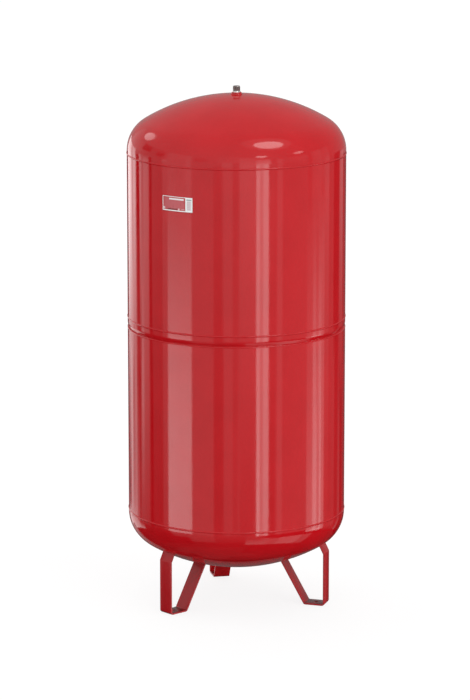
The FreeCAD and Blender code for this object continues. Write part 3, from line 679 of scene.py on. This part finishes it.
land = Pen(LAND_RADIUS - 0.1, COLLAR_TOP).line(LAND_RADIUS, COLLAR_TOP)
land.line(LAND_RADIUS, LAND_TOP - 0.35).line(LAND_RADIUS - 0.35, LAND_TOP)
mesh = land.line(THREAD_ROOT, LAND_TOP).close().turn(SMALL_ROUND)
make_piece(mesh, "nipple_land", land_steel)
collar = Pen(LAND_RADIUS - 0.05, TOP_POINT - 0.2).line(COLLAR_RADIUS, TOP_POINT - 0.2)
collar.line(COLLAR_RADIUS, COLLAR_TOP - COLLAR_EDGE)
collar.arc(COLLAR_RADIUS - COLLAR_EDGE, COLLAR_TOP - COLLAR_EDGE, 90, 4)
mesh = collar.line(LAND_RADIUS - 0.05, COLLAR_TOP).close().turn(SMALL_ROUND)
make_piece(mesh, "nipple_collar", collar_paint, ["connection_nipple"])
fillet_foot = TOP_POINT - crown_sag(FILLET_RADIUS)
fillet = Pen(COLLAR_RADIUS, TOP_POINT - crown_sag(COLLAR_RADIUS) - 0.3)
fillet.line(FILLET_RADIUS, fillet_foot - 0.3).line(FILLET_RADIUS, fillet_foot)
mesh = fillet.bulge(COLLAR_RADIUS, TOP_POINT + 3.5, 0.5, 6).close().turn(240)
ripple_beads(mesh, COLLAR_RADIUS + 0.05, 0.05)
make_piece(mesh, "nipple_fillet", collar_paint, ["nipple_weld"], sharp=50)

# %% [markdown]
# ## Feet
#
# Each foot is one flat bar, folded at the toe, the heel and the knee. Sheet-metal work is copied
# step for step: a line with rounded folds is drawn, pulled sideways to the bar's width, and given
# the bar's thickness. Its edges are slightly rounded, as rolled bar has them.

# %% Fold one bar
FOOT_REACH, SOLE, KNEE_UP = RADIUS - 48, 78.5, 197.5
INNER_LEAN, KNEE_LEAN = math.radians(29.7), math.radians(27)
BAR_WIDTH, BAR, FOLD, BROKEN_EDGE = 60.0, 6.0, 11.0, 0.8


def folded_line(corners):
    """A line through corners whose turns, all to the left, are rounded."""
    line = Pen(*corners[0])
    for before, corner, after in zip(corners, corners[1:], corners[2:]):
        arrive = math.atan2(corner[1] - before[1], corner[0] - before[0])
        leave = math.atan2(after[1] - corner[1], after[0] - corner[0])
        turn = (leave - arrive) % math.tau
        reach = FOLD * math.tan(turn / 2)
        across, up = corner[0] - reach * math.cos(arrive), corner[1] - reach * math.sin(arrive)
        centre = across - FOLD * math.sin(arrive), up + FOLD * math.cos(arrive)
        line.line(across, up).arc(*centre, math.degrees(turn), 10)
    return line.line(*corners[-1]).mesh


def folded_foot():
    """One bar, folded in the plane towards azimuth 0, with its ends still long."""
    toe = FOOT_REACH - SOLE
    inner_end = toe - LOWER_SEAM * math.tan(INNER_LEAN)
    knee_end = FOOT_REACH - (LOWER_SEAM - KNEE_UP) * math.tan(KNEE_LEAN)
    mesh = folded_line([
        (inner_end, LOWER_SEAM), (toe, 0), (FOOT_REACH, 0), (FOOT_REACH, KNEE_UP),
        (knee_end, LOWER_SEAM)])
    pulled = points_in(bmesh.ops.extrude_edge_only(mesh, edges=mesh.edges[:])["geom"])
    bmesh.ops.translate(mesh, vec=(0, BAR_WIDTH * MM, 0), verts=pulled)
    bmesh.ops.translate(mesh, vec=(0, -BAR_WIDTH / 2 * MM, 0), verts=mesh.verts)
    bmesh.ops.recalc_face_normals(mesh, faces=mesh.faces)
    leg = max(mesh.faces, key=lambda face: face.calc_center_median().x)
    inwards = 1 if leg.normal.x > 0 else -1
    bmesh.ops.solidify(mesh, geom=mesh.faces[:], thickness=inwards * BAR * MM)
    bmesh.ops.recalc_face_normals(mesh, faces=mesh.faces)
    edges = [edge for edge in mesh.edges if edge.calc_face_angle(0) > math.radians(60)]
    bmesh.ops.bevel(mesh, geom=edges, offset=BROKEN_EDGE * MM, offset_type="OFFSET",
                    affect="EDGES", segments=3, profile=0.5, material=-1)
    return mesh


print("a foot stands from radius", FOOT_REACH - SOLE, "to", FOOT_REACH, "mm")

# %% [markdown]
# The ends of the bar would poke into the vessel. They are cut away with the head's own shape, so
# that the bar seats on the curve as a fitter's trimmed bar does, and the fixing hole goes in the
# same cut. A Boolean modifier makes the cut, and its result is read back as a new mesh.

# %% Cut the bar and stand three of them
ANCHOR_HOLE = 6.5


def cutting_tool():
    """The space inside the lower head, and a drill for the fixing hole."""
    tool = Pen(0, LOW_POINT).arc(0, LOW_POINT + CROWN, 90 - knuckle_turn, OUTER_STEPS)
    tool.arc(RADIUS - KNUCKLE, LOWER_SEAM - COLLAR, knuckle_turn, OUTER_STEPS)
    mesh = tool.line(RADIUS, RIM).line(0, RIM).turn(ROUND)
    drill = bmesh.ops.create_cone(mesh, cap_ends=True, segments=48, radius1=ANCHOR_HOLE * MM,
                                  radius2=ANCHOR_HOLE * MM, depth=40 * MM)
    bmesh.ops.translate(mesh, vec=((FOOT_REACH - SOLE / 2) * MM, 0, 0), verts=drill["verts"])
    bmesh.ops.remove_doubles(mesh, verts=mesh.verts, dist=JOIN)
    bmesh.ops.recalc_face_normals(mesh, faces=mesh.faces)
    return to_object(mesh, "cutting_tool")


def cut_copy(mesh, tool):
    """The mesh less the tool, as a new mesh."""
    blank = to_object(mesh, "blank")
    cut = blank.modifiers.new("cut", "BOOLEAN")
    cut.operation = "DIFFERENCE"
    cut.solver = "EXACT"
    cut.object = tool
    result = bmesh.new()
    result.from_object(blank, bpy.context.evaluated_depsgraph_get())
    bpy.data.objects.remove(blank)
    return result


tool = cutting_tool()
for place, azimuth, paint in [
        ("rear", 90, lit_rear_bar_paint), ("left", 210, shaded_front_bar_paint),
        ("right", 330, shaded_front_bar_paint)]:
    mesh = cut_copy(folded_foot(), tool)
    turn_to(mesh, azimuth)
    make_piece(mesh, "foot_bar_" + place, paint, ["foot_" + place], sharp=40)
bpy.data.objects.remove(tool)

# %% [markdown]
# ## Rating label
#
# A printed film label sits on the upper shell. Its print is plain fields of colour: a red panel, a
# white column and a few grey bars, and round them a clear rim of the film shows the paint, in a
# darker red that is painted shade along the film's edge. Each field is a soft-edged rectangle,
# worked out from the place on the film.

# %% Fields of the print
LABEL_LOW, LABEL_HIGH = span("rating_label")[:2]
LABEL_UP = (LABEL_LOW + LABEL_HIGH) / 2
LABEL_AZIMUTH = math.radians(-134.3)
LABEL_WIDTH, LABEL_HEIGHT = 128.0, LABEL_HIGH - LABEL_LOW
CRISP = 0.35

# left, right, low and high edge in millimetres from the middle, softness, strength
PALE_FIELDS = [
    (-32, 29, 15, 20.8, 0.6, 1.0),
    (-58, -50, -20, -11.5, 0.8, 0.6),
    (6, 12.5, -21, -14.5, 0.8, 0.6),
    (19, 33, -19, -15.5, CRISP, 0.3),
]
GREY_BARS = [(40, 59.5, 16, 21, CRISP, 1.0)]
for row, length in enumerate((13, 11, 13, 9, 12)):
    GREY_BARS.append((43, 43 + length, 9.5 - row * 6, 11.5 - row * 6, CRISP, 0.4))
print("label", LABEL_WIDTH, "by", round(LABEL_HEIGHT, 1), "mm with", len(GREY_BARS), "grey bars")

# %% Printed film


def printed_film():
    """The film's finish: paper, panel and bars, laid over each other from below."""
    finish = Finish("label_film", {"Roughness": 0.3, "IOR": 1.45})
    x, y, z = finish.axes()
    along = (x * -math.sin(LABEL_AZIMUTH) + y * math.cos(LABEL_AZIMUTH)) / MM
    up = z / MM - LABEL_UP

    def field(left, right, low, high, soft=CRISP):
        """1 inside a rectangle of the print and 0 outside it."""
        inside = 1
        for axis, start, end in ((along, left, right), (up, low, high)):
            off, half = (axis - (start + end) / 2).size(), (end - start) / 2
            inside = off.ramp(half - soft, half + soft, 1, 0) * inside
        return inside

    def fields(rows):
        """The strongest of several fields."""
        total = 0
        for *edges, strength in rows:
            total = (field(*edges) * strength).most(total)
        return total

    cloud = finish.noise(0.02, detail=3)
    paper = finish.blend(cloud, colour(0.8, 0.84, 0.835), colour(0.88, 0.92, 0.915))
    paper = finish.blend(field(41.5, 57.5, -18.5, 14.5, 1), paper, colour(0.68, 0.58, 0.6))
    panel = field(-54.5, 32, -18.5, 21.5, 1.2)
    panel = finish.blend(panel, colour(0.45, 0.012, 0.016), colour(0.5, 0.088, 0.1))
    panel = finish.blend(field(-38, 4, -21, -16), panel, colour(0.2, 0.012, 0.014))
    panel = finish.blend(fields(PALE_FIELDS), panel, colour(0.8, 0.77, 0.77))
    shade = finish.blend(field(-58.5, 35.5, -21.6, 24.7), paper, panel)
    shade = finish.blend(fields(GREY_BARS), shade, colour(0.36, 0.4, 0.4))
    # The clear rim is a darker red than the paint: painted shade along the film's edge.
    shade = finish.blend(field(-61, 63.1, -25.1, 26.9), colour(0.4, 0.006, 0.01), shade)
    gloss = cloud.ramp(0.3, 0.7, 0.26, 0.34)
    finish.feed(finish.shader, {"Base Color": shade, "Roughness": gloss})
    return finish.material


label_film = printed_film()
print("the film's finish has", len(label_film.node_tree.nodes), "nodes")

# %% [markdown]
# The film itself starts as one flat face with rounded corners. It is cut into narrow strips, so
# that it can bend, and each point is laid round the shell, a glue's thickness away from it.

# %% Cut the film and bend it round the shell
FILM, GLUE, CORNER, STRIPS = 0.3, 0.15, 4, 32
LABEL_FACE = RADIUS + GLUE + FILM
mesh = bmesh.new()
bmesh.ops.create_grid(mesh, x_segments=1, y_segments=1, size=0.5)
bmesh.ops.scale(mesh, vec=(LABEL_WIDTH * MM, LABEL_HEIGHT * MM, 1), verts=mesh.verts)
bmesh.ops.bevel(mesh, geom=mesh.verts[:], offset=CORNER * MM, affect="VERTICES", segments=6,
                profile=0.5, material=-1)
for number in range(1, STRIPS):
    cut = (number / STRIPS - 0.5) * LABEL_WIDTH * MM
    bmesh.ops.bisect_plane(mesh, geom=whole(mesh), plane_co=(cut, 0, 0), plane_no=(1, 0, 0))
across = LABEL_FACE * MM
for point in mesh.verts:
    angle, up = LABEL_AZIMUTH + point.co.x / across, point.co.y + LABEL_UP * MM
    point.co = (across * math.cos(angle), across * math.sin(angle), up)
bmesh.ops.recalc_face_normals(mesh, faces=mesh.faces)
front = mesh.faces[:][0]
outwards = front.normal.dot(front.calc_center_median()) > 0
bmesh.ops.solidify(mesh, geom=mesh.faces[:], thickness=(FILM if outwards else -FILM) * MM)
make_piece(mesh, "label", label_film, ["rating_label"], sharp=40)

# %% [markdown]
# ## Plastics, rubber, brass and spring wire
#
# The parts in and under the tank are seldom seen, but each still has its own finish. Moulded
# plastic and rubber are matt with a fine grain; brass shows turning rings; drawn wire is bright.

# %% Recipes of the small parts


def moulded(name, dark, light, gloss, grain, depth):
    """A moulded surface with grain of that width and depth, in metres."""
    finish = Finish(name, {})
    cloud = finish.noise(grain * 12, detail=3)
    finish.feed(finish.shader, {
        "Base Color": finish.blend(cloud, dark, light),
        "Roughness": cloud.ramp(0.3, 0.7, gloss - 0.06, gloss + 0.06),
        "Normal": finish.emboss(finish.noise(grain), depth)})
    return finish.material


cover_plastic = moulded("cover_plastic", colour(0.03, 0.03, 0.031), colour(0.05, 0.05, 0.052),
                        gloss=0.5, grain=0.0007, depth=0.00002)
cap_plastic = moulded("cap_plastic", colour(0.022, 0.022, 0.023), colour(0.04, 0.04, 0.042),
                      gloss=0.45, grain=0.0004, depth=0.00001)
butyl = moulded("butyl_rubber", colour(0.014, 0.014, 0.014), colour(0.03, 0.029, 0.028),
                gloss=0.72, grain=0.0015, depth=0.00005)
seal = moulded("seal_rubber", colour(0.024, 0.024, 0.024), colour(0.038, 0.038, 0.038),
               gloss=0.55, grain=0.0005, depth=0.00001)
brass = bare_steel("valve_brass", colour(0.5, 0.35, 0.13), colour(0.68, 0.51, 0.24),
                   gloss=0.28, rings=0.0005)
wire = bare_steel("spring_steel", colour(0.45, 0.45, 0.46), colour(0.62, 0.62, 0.63),
                  gloss=0.25, rings=0.0004)
print("small finishes made")

# %% [markdown]
# ## Under the lower head
#
# A socket for the gas valve is welded into the middle of the lower head, and a push-on plastic
# cover closes it. The cover has grip ribs round its skirt. They come from the lathe's own points:
# every other group of points on the skirt is drawn in a little.

# %% Valve cover with grip ribs, and the socket's fillet
COVER_LOW, COVER_HIGH = span("valve_cover")[:2]
COVER_RADIUS, SKIRT_INSIDE, COVER_EDGE, COVER_ROOF = 17.95, 16.15, 1.2, 2.5
COVER_STEPS, RIB_STEPS, RIB_DEPTH = 192, 8, 0.45
edge_across = COVER_RADIUS - COVER_EDGE
cover = Pen(0, COVER_LOW).line(edge_across, COVER_LOW)
cover.arc(edge_across, COVER_LOW + COVER_EDGE, 90, 4).line(COVER_RADIUS, COVER_HIGH)
cover.line(SKIRT_INSIDE, COVER_HIGH).line(SKIRT_INSIDE, COVER_LOW + COVER_ROOF)
mesh = cover.line(0, COVER_LOW + COVER_ROOF).turn(COVER_STEPS)
for point in mesh.verts:
    across, angle = place_of(point)
    step = round(angle / math.tau * COVER_STEPS) % RIB_STEPS
    if across > COVER_RADIUS - 0.3 and step < RIB_STEPS / 2:
        widen(point, 1 - RIB_DEPTH / across)
make_piece(mesh, "cover", cover_plastic, ["valve_cover"], sharp=35)

SOCKET_RADIUS, SOCKET_FILLET = 16, 19
socket_root, fillet_foot = [LOW_POINT + crown_sag(each) for each in (SOCKET_RADIUS, SOCKET_FILLET)]
fillet = Pen(SOCKET_RADIUS, socket_root + 0.3).line(SOCKET_RADIUS, LOW_POINT - 3)
fillet.bulge(SOCKET_FILLET, fillet_foot, 0.4, 6).line(SOCKET_FILLET, fillet_foot + 0.3)
mesh = fillet.close().turn(COVER_STEPS)
make_piece(mesh, "socket_fillet", weld_paint, ["socket_weld"], sharp=50)

# %% [markdown]
# The valve core's spring is the one part that changes its shape: it shortens when the pin is pushed
# in. A wire of its own is wound here, and the piece is given a mesh of its own.

# %% The valve core's spring
SPRING_LOW, SPRING_HIGH, SPRING_OUT = span("core_spring")
WIRE, WIRE_SIDES, COILS, COIL_STEPS, PUSH = 0.2, 10, 4.5, 32, 1.5
mesh = bmesh.new()
bmesh.ops.create_circle(mesh, segments=WIRE_SIDES, radius=WIRE * MM)
start = Matrix.Translation(((SPRING_OUT - WIRE) * MM, 0, (SPRING_LOW + WIRE) * MM))
upright = start @ Matrix.Rotation(math.radians(90), 4, "X")
bmesh.ops.transform(mesh, matrix=upright, verts=mesh.verts)
steps = round(COILS * COIL_STEPS)
climb = (SPRING_HIGH - SPRING_LOW - WIRE * 2) * MM / steps
spin_all(mesh, math.tau * COILS, steps, climb)
ends = [edge for edge in mesh.edges if edge.is_boundary]
bmesh.ops.holes_fill(mesh, edges=ends, sides=WIRE_SIDES)
spring = make_piece(mesh, "spring", wire, ["core_spring"], sharp=50)
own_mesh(spring)
print("spring from", SPRING_LOW, "to", SPRING_HIGH)

# %% [markdown]
# The remaining CAD parts are hidden inside or behind the cover. They stay as they are and only get
# their finish, so that a cut model of the tank still looks right.

# %% Finishes for the CAD parts that stay
for node, finish in [
        ("diaphragm", butyl), ("clamp_ring", ring_steel), ("valve_socket", weld_paint),
        ("valve_gasket", seal), ("valve_body", brass), ("core_barrel", brass),
        ("core_pin", brass), ("core_seal", seal), ("valve_cap", cap_plastic)]:
    part = frame["nodes"][node]
    part.data.materials.clear()
    part.data.materials.append(finish)
print("CAD parts shown:", [piece.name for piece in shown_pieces() if "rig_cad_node" in piece])

# %% [markdown]
# ## Floor
#
# The tank stands on a plain pale floor in a soft white studio. The camera sees floor and
# surroundings as white, with the tank's own soft shadow kept, while the light that the floor and
# the sky throw on the tank stays at a plain level. A Light Path node tells the two apart.

# %% A pale floor that keeps the shadow


def seen_directly(recipe):
    """1 for a ray from the camera, from a gloss or through glass, and 0 for diffuse light."""
    camera, gloss, glass = [
        recipe.node("ShaderNodeLightPath", output=kind)
        for kind in ("Is Camera Ray", "Is Glossy Ray", "Is Transmission Ray")]
    return camera.most(gloss).most(glass)


def pale_floor():
    """A floor whose glow, where it is looked at, lifts it to white."""
    finish = Finish("pale_floor", {"Roughness": 0.9, "Specular IOR Level": 0.0})
    direct = seen_directly(finish)
    shade = finish.blend(finish.noise(0.6), colour(0.56, 0.56, 0.56), colour(0.58, 0.58, 0.58))
    shade = finish.blend(direct, shade, colour(0.98, 0.98, 0.98))
    finish.feed(finish.shader, {"Base Color": shade})
    plain = Reading(finish, finish.shader.outputs[0])
    glow = finish.node("ShaderNodeEmission", sockets={"Strength": 1.0})
    finish.show(finish.node("ShaderNodeMixShader", sockets={0: direct * 0.85, 1: plain, 2: glow}))
    return finish.material


def staged(mesh, name, finish):
    """An object for the studio, which is not attached to the tank's body."""
    thing = to_object(mesh, name, finish)
    return thing


FLOOR_RADIUS, FLOOR_DROP = 60, 0.0002
mesh = bmesh.new()
bmesh.ops.create_circle(mesh, cap_ends=True, segments=96, radius=FLOOR_RADIUS)
bmesh.ops.translate(mesh, vec=(0, 0, -FLOOR_DROP), verts=mesh.verts)
floor = staged(mesh, "floor", pale_floor())
floor.visible_glossy = False
print("a floor of", FLOOR_RADIUS, "m radius")

# %% [markdown]
# ## World and lamps
#
# The sky gives most of the light, and three wide, weak suns give the tank its soft modelling. A sun
# is a lamp so far away that its light is the same everywhere, and its angle says how wide it looks.

# %% World and soft lamps
CAMERA_AZIMUTH = -102.05
SKY, SUN = 0.85, 1.4
scene = bpy.context.scene
scene.world = bpy.data.worlds.new("studio")
scene.world.use_nodes = True
studio = Recipe(scene.world.node_tree)
strength = studio.node("ShaderNodeMapRange", sockets={
    "Value": seen_directly(studio), "To Min": SKY, "To Max": 1.0})
studio.feed(studio.tree.nodes["Background"], {"Color": colour(1, 1, 1), "Strength": strength})


def heading(azimuth, elevation):
    """A direction whose azimuth is counted to the right of the camera, in degrees."""
    turn, rise = math.radians(CAMERA_AZIMUTH + azimuth), math.radians(elevation)
    level = math.cos(rise)
    return Vector((math.cos(turn) * level, math.sin(turn) * level, math.sin(rise)))


def soft_sun(name, strength, wide, azimuth, elevation):
    """A far lamp as wide as the angle says. No gloss shows it: the cards below stand for it."""
    lamp = bpy.data.lights.new(name, "SUN")
    lamp.energy = strength
    lamp.angle = math.radians(wide)
    sun = bpy.data.objects.new(name, lamp)
    sun.rotation_mode = "QUATERNION"
    sun.rotation_quaternion = heading(azimuth, elevation).to_track_quat("Z", "Y")
    sun.visible_glossy = False
    scene.collection.objects.link(sun)
    print(name, "shines from", [round(value, 2) for value in heading(azimuth, elevation)])


soft_sun("main_lamp", SUN, wide=60, azimuth=50, elevation=20)
soft_sun("back_lamp", 1.1, wide=100, azimuth=-140, elevation=34)
soft_sun("rear_lamp", 0.55, wide=60, azimuth=180, elevation=14)

# %% [markdown]
# ## What the gloss shows
#
# Glossy paint takes its character from what it mirrors. A real studio stands lamps, windows,
# screens and black flags round such an object. Here they are curved cards, far away, that only a
# gloss can see. Each is an upright arc spun round the tank. A card glows evenly, or from one
# strength at its foot to another at its head, and a card that is made later stands a little nearer.

# %% Cards and round lamps
CARD_REACH, CARD_CENTRE, CARD_GAP = 80.0, 0.93, 0.1
LAMP_REACH, LAMP_GAP = CARD_REACH * 0.8, 2
BRIGHT_SIDE = heading(-25, 0)
cards_made = []


def card_glow(name, foot, head, low, high, lean):
    """Glow from a card's foot to its head. Lean makes the brighter side of the room brighter."""
    finish = Finish(name, {})
    x, y, z = finish.axes()
    facing = (x * BRIGHT_SIDE.x + y * BRIGHT_SIDE.y) * (lean / CARD_REACH)
    climbing = finish.node("ShaderNodeMapRange", sockets={0: z, 1: low, 2: high, 3: foot, 4: head})
    finish.show(finish.node(
        "ShaderNodeEmission", sockets={"Color": climbing + facing, "Strength": 1.0}))
    return finish.material


def hang(mesh, name, finish):
    """Hangs a card where only a gloss sees it."""
    thing = staged(mesh, name, finish)
    thing.visible_camera = thing.visible_diffuse = thing.visible_shadow = False
    thing.visible_transmission = thing.visible_volume_scatter = False
    cards_made.append(thing)


def card(name, left, right, low, high, foot, head, lean=0.0):
    """A card between two azimuths and two elevations in degrees, as seen from the tank."""
    reach = CARD_REACH - len(cards_made) * CARD_GAP
    across, up = reach * math.cos(math.radians(low)), reach * math.sin(math.radians(low))
    top = reach * math.sin(math.radians(high))
    mesh = Pen(across / MM, up / MM).arc(0, 0, high - low, max(1, round((high - low) / 5))).mesh
    steps = max(1, round((right - left) / 3))
    spin_all(mesh, math.radians(right - left), steps, merge=right - left == 360)
    turn = Matrix.Rotation(math.radians(CAMERA_AZIMUTH + left), 4, "Z")
    place = Matrix.Translation((0, 0, CARD_CENTRE)) @ turn
    bmesh.ops.transform(mesh, matrix=place, verts=mesh.verts)
    hang(mesh, name, card_glow(name, foot, head, CARD_CENTRE + up, CARD_CENTRE + top, lean))


def round_lamp(name, azimuth, elevation, half_width, half_height, glow):
    """A round lamp at a place in the surroundings, with its half sizes in degrees."""
    reach = LAMP_REACH - len(cards_made) * LAMP_GAP
    mesh = bmesh.new()
    bmesh.ops.create_circle(mesh, cap_ends=True, segments=32, radius=reach)
    size = (math.tan(math.radians(half_width)), math.tan(math.radians(half_height)), 1)
    bmesh.ops.scale(mesh, vec=size, verts=mesh.verts)
    way = heading(azimuth, elevation)
    place = Matrix.Translation(way * reach + Vector((0, 0, CARD_CENTRE)))
    facing = way.to_track_quat("Z", "Y").to_matrix().to_4x4()
    bmesh.ops.transform(mesh, matrix=place @ facing, verts=mesh.verts)
    hang(mesh, name, card_glow(name, glow, glow, 0, 1, 0))


card("sky", -180, 180, -17, 90, 0.5, 0.555, lean=0.23)
card("ground", -180, 180, -90, -56, 0.1, 0.09, lean=0.06)
card("ground_ring", -180, 180, -56, -17, 0.04, 0.03, lean=0.06)
print("cards all round:", len(cards_made))

# %% [markdown]
# The table lists what stands in the studio, in the order in which the cards are hung: floor
# patches, strips and posts behind, screens and windows at the sides, and tube lamps in front. Most
# soft streaks on the paint are the edge of one of these. Many cards are split in a low and an upper
# part, because the paint near the floor mirrors them a few degrees further round than it does
# near the top.

# %% The studio's cards
# name, left and right azimuth, low and high elevation, glow at the foot, glow at the head
SURROUNDINGS = [
    ("wall_far_left", -152, -118, 2, 24, 0.62, 0.5),
    ("wall_side", -119, -82, 0, 20, 0.5, 0.44),
    ("flag_upper_left", -119, -103, 8, 19, 0.15, 0.22),
    ("flag_upper_side", -93, -82, 5, 14, 0.2, 0.25),
    ("panel_upper", -20, 5, 4, 24, 0.9, 0.82),
    ("panel_right_side", 86, 100, -10, 16, 0.62, 0.7),
    ("floor_front", -24, 10, -40, -17, 0.14, 0.34),
    ("floor_left", -54, -24, -39, -17, 0.38, 0.57),
    ("floor_far_left", -130, -54, -46, -24, 0.02, 0.03),
    ("floor_left_near", -74, -54, -28, -17, 0.3, 0.6),
    ("floor_right_near", 10, 28, -29, -17, 0.4, 0.5),
    ("floor_right_one", 10.5, 28, -46, -29, 1.3, 0.65),
    ("floor_right_two", 28, 37, -46, -24, 1.3, 0.75),
    ("floor_right_three", 37, 49, -46, -27, 0.85, 0.85),
    ("floor_right_four", 49, 78, -46, -26, 1.3, 1.25),
    ("floor_right_five", 78, 92, -46, -26, 0.55, 0.65),
    ("floor_far_right", 92, 168, -50, -27, 0.03, 0.04),
    ("floor_under_right", 14, 190, -80, -50, 0.05, 0.02),
    ("strip_far_left_foot", -160, -127, -24, -15, 1.4, 1.3),
    ("strip_left_foot", -127, -118, -24, -16, 1.25, 0.15),
    ("strip_behind_low", -160, -151, -15, -12.5, 0.05, 0.66),
    ("strip_behind", -160, -145, -12.5, -9.5, 0.66, 2.1),
    ("strip_behind_side", -151, -143.5, -15.5, -12, 0.85, 1.3),
    ("strip_behind_upper", -160, -145, -9.5, 2, 2.2, 1.9),
    ("post_far_left_low", -143.5, -137, -15, -12.5, 0.6, 0.42),
    ("post_far_left", -145, -139.3, -12.5, -10.5, 0.8, 1.5),
    ("post_far_left_upper", -145, -139, -10.5, 2, 1.25, 1.3),
    ("strip_far_left_low", -137, -131, -15, -12, 0.85, 0.95),
    ("strip_far_left", -139, -132, -12, -9.2, 0.75, 2.1),
    ("strip_far_left_upper", -139, -132, -9.2, 2, 2.1, 1.7),
    ("edge_far_left", -132, -129.5, -12.3, -10, 0.5, 0.75),
    ("flag_far_left_low", -131, -126, -16, -12.3, 0.65, 0.12),
    ("flag_far_left", -129.8, -122.3, -12.3, -10, 0.17, 0.02),
    ("flag_far_left_upper", -129.8, -121.8, -10, -4, 0.0, 0.0),
    ("strip_left_low", -118, -105, -23, -16, 0.04, 0.1),
    ("strip_left_middle", -122, -105, -16, -9, 0.2, 1.25),
    ("strip_left", -122, -105, -9, -2, 1.25, 0.6),
    ("strip_left_edge_low", -126, -121.3, -16, -12.3, 0.22, 0.06),
    ("strip_left_edge", -123, -119.5, -12.3, -9, 0.15, 1.6),
    ("strip_left_edge_upper", -123.5, -119.5, -9, -2, 1.6, 1.2),
    ("strip_left_side_low", -119.5, -115, -15, -13, 0.25, 1.3),
    ("strip_left_side", -119.5, -115, -13, -9.5, 1.45, 0.78),
    ("strip_left_side_upper", -119.5, -115, -9.5, -3, 0.78, 0.7),
    ("screen_left_low", -105, -84, -17, -8, 0.05, 0.52),
    ("screen_left", -105, -84, -8, 0, 0.52, 0.55),
    ("line_left_low", -103.3, -98.7, -17, -12.3, 0.0, 0.03),
    ("line_left", -104.4, -100, -12.3, -2, 0.05, 0.07),
    ("window_side", -84, -77, -17, 0, 0.4, 1.3),
    ("window_low", -77, -48, -17.5, -13.5, 3.6, 3.55),
    ("window_middle", -77, -48, -13.5, -9, 3.6, 0.9),
    ("window_high", -77, -54, -9, 19, 0.9, 0.95),
    ("window_edge", -54, -48, -9, 19, 1.2, 1.0),
    ("wall_left", -48, -24, -17.5, 4, 0.76, 0.8),
    ("wall_left_upper", -45, -31, 4, 15, 0.56, 0.6),
    ("screen_middle_low", -24, -13.5, -17, -11.5, 0.26, 0.36),
    ("screen_middle", -24, -15, -11.5, -3, 0.42, 0.9),
    ("panel_middle_low", -13.5, -4, -17, -8, 0.6, 1.0),
    ("panel_middle", -15, -4, -8, 4, 1.1, 1.1),
    ("screen_front", -4, 1.5, -17, -3, 0.42, 0.78),
    ("panel_front_low", 3, 19, -17, -8, 0.2, 1.3),
    ("panel_front", 3, 19, -8, 20, 1.4, 1.0),
    ("tube_one_low", 20.8, 24.3, -18, -12.5, 5.6, 3.9),
    ("tube_one", 20.4, 24.3, -12.5, -2, 3.8, 3.7),
    ("tube_gap", 24.3, 27.8, -18, -2, 2.4, 2.4),
    ("tube_two", 27.8, 33.8, -18, -2, 3.7, 3.7),
    ("tubes_upper", 20, 35.5, -2, 14, 2.6, 1.1),
    ("screen_right_low", 34.5, 41, -17, -9, 0.2, 0.68),
    ("screen_right", 34.5, 41, -9, -3, 0.68, 0.9),
    ("wall_right_one", 43, 49, -17, 12, 1.0, 1.0),
    ("wall_right_two", 49, 80, -17, 12, 0.58, 0.72),
    ("wall_right_three", 100, 113, -9, 16, 0.56, 0.5),
    ("window_right_side", 79.5, 88, -21, -13.5, 3.2, 1.2),
    ("window_right_frame", 79.5, 88, -13.5, -9.5, 1.1, 0.68),
    ("window_right", 88, 101, -21, -13.4, 4.4, 2.7),
    ("window_right_upper", 88, 101, -13.4, -9.6, 2.7, 0.6),
    ("window_right_bar_low", 94.3, 98.3, -19, -13, 1.7, 1.6),
    ("window_right_bar", 92.5, 96.5, -13, -10, 1.6, 0.55),
    ("window_right_end", 101, 106, -21, -9.5, 2.0, 0.85),
    ("screen_far_right_low", 106, 114, -16, -9.5, 0.22, 0.64),
    ("screen_far_right", 106, 114, -9.5, -2, 0.66, 0.6),
    ("screen_far_right_side_low", 114, 127, -16, -12, 0.2, 0.27),
    ("screen_far_right_side", 114, 123.5, -12, -2, 0.28, 0.3),
    ("screen_far_right_foot", 106, 128, -26, -16, 0.05, 0.3),
    ("flag_far_right_low", 127, 136.5, -26, -12, 0.1, 0.07),
    ("edge_far_right_low", 136.5, 142.5, -26, -12, 0.35, 0.14),
    ("flag_far_right", 123.5, 138, -12, -2, 0.05, 0.1),
    ("screen_behind_right_low", 142.5, 152, -26, -13, 0.0, 0.03),
    ("screen_behind_right", 138.5, 150, -13, -9, 0.05, 0.4),
    ("screen_behind_right_upper", 138.5, 150, -9, -4, 0.4, 0.6),
    ("flag_behind", 150, 200, -27, -8, 0.0, 0.1),
    ("floor_behind", 168, 197, -44, -14, 0.1, 0.13),
    ("floor_behind_left", 197, 212, -42, -20, 0.15, 0.5),
]
# name, azimuth and elevation of its middle, half width, half height, glow
LAMPS = [
    ("softbox_glow", 51, 59, 21, 20, 0.84),
    ("softbox", 50.3, 56, 12.9, 11.5, 4.9),
    ("lamp_left", -128.7, 29, 8.8, 6.6, 2.4),
    ("lamp_front", 27, 22, 6.2, 2.8, 4.8),
    ("lamp_right", 71, 22, 6, 2.6, 3.6),
]
for row in LAMPS:
    round_lamp(*row)
for row in SURROUNDINGS:
    card(*row)
print("cards:", len(cards_made))

# %% [markdown]
# ## Camera
#
# The photograph was taken from well away with a long lens, a little above the waist. The lens and
# the place below were found from the ellipses of the seams and the heights of the joints.

# %% The camera
LENS, DISTANCE = 187.2, 13.252
AIM = Vector((-0.00533, 0.00114, 0.9297))
back = Vector((-0.2041, -0.9562, 0.2101)).normalized()
lens = bpy.data.cameras.new("photo_camera")
lens.lens = LENS
lens.sensor_width = 36
lens.clip_end = 200
camera = bpy.data.objects.new("photo_camera", lens)
camera.location = AIM + back * DISTANCE
camera.rotation_mode = "QUATERNION"
camera.rotation_quaternion = (-back).to_track_quat("-Z", "Y")
scene.collection.objects.link(camera)
scene.camera = camera
scene.view_settings.view_transform = "Standard"
print("camera", round(camera.location.length, 2), "m away")
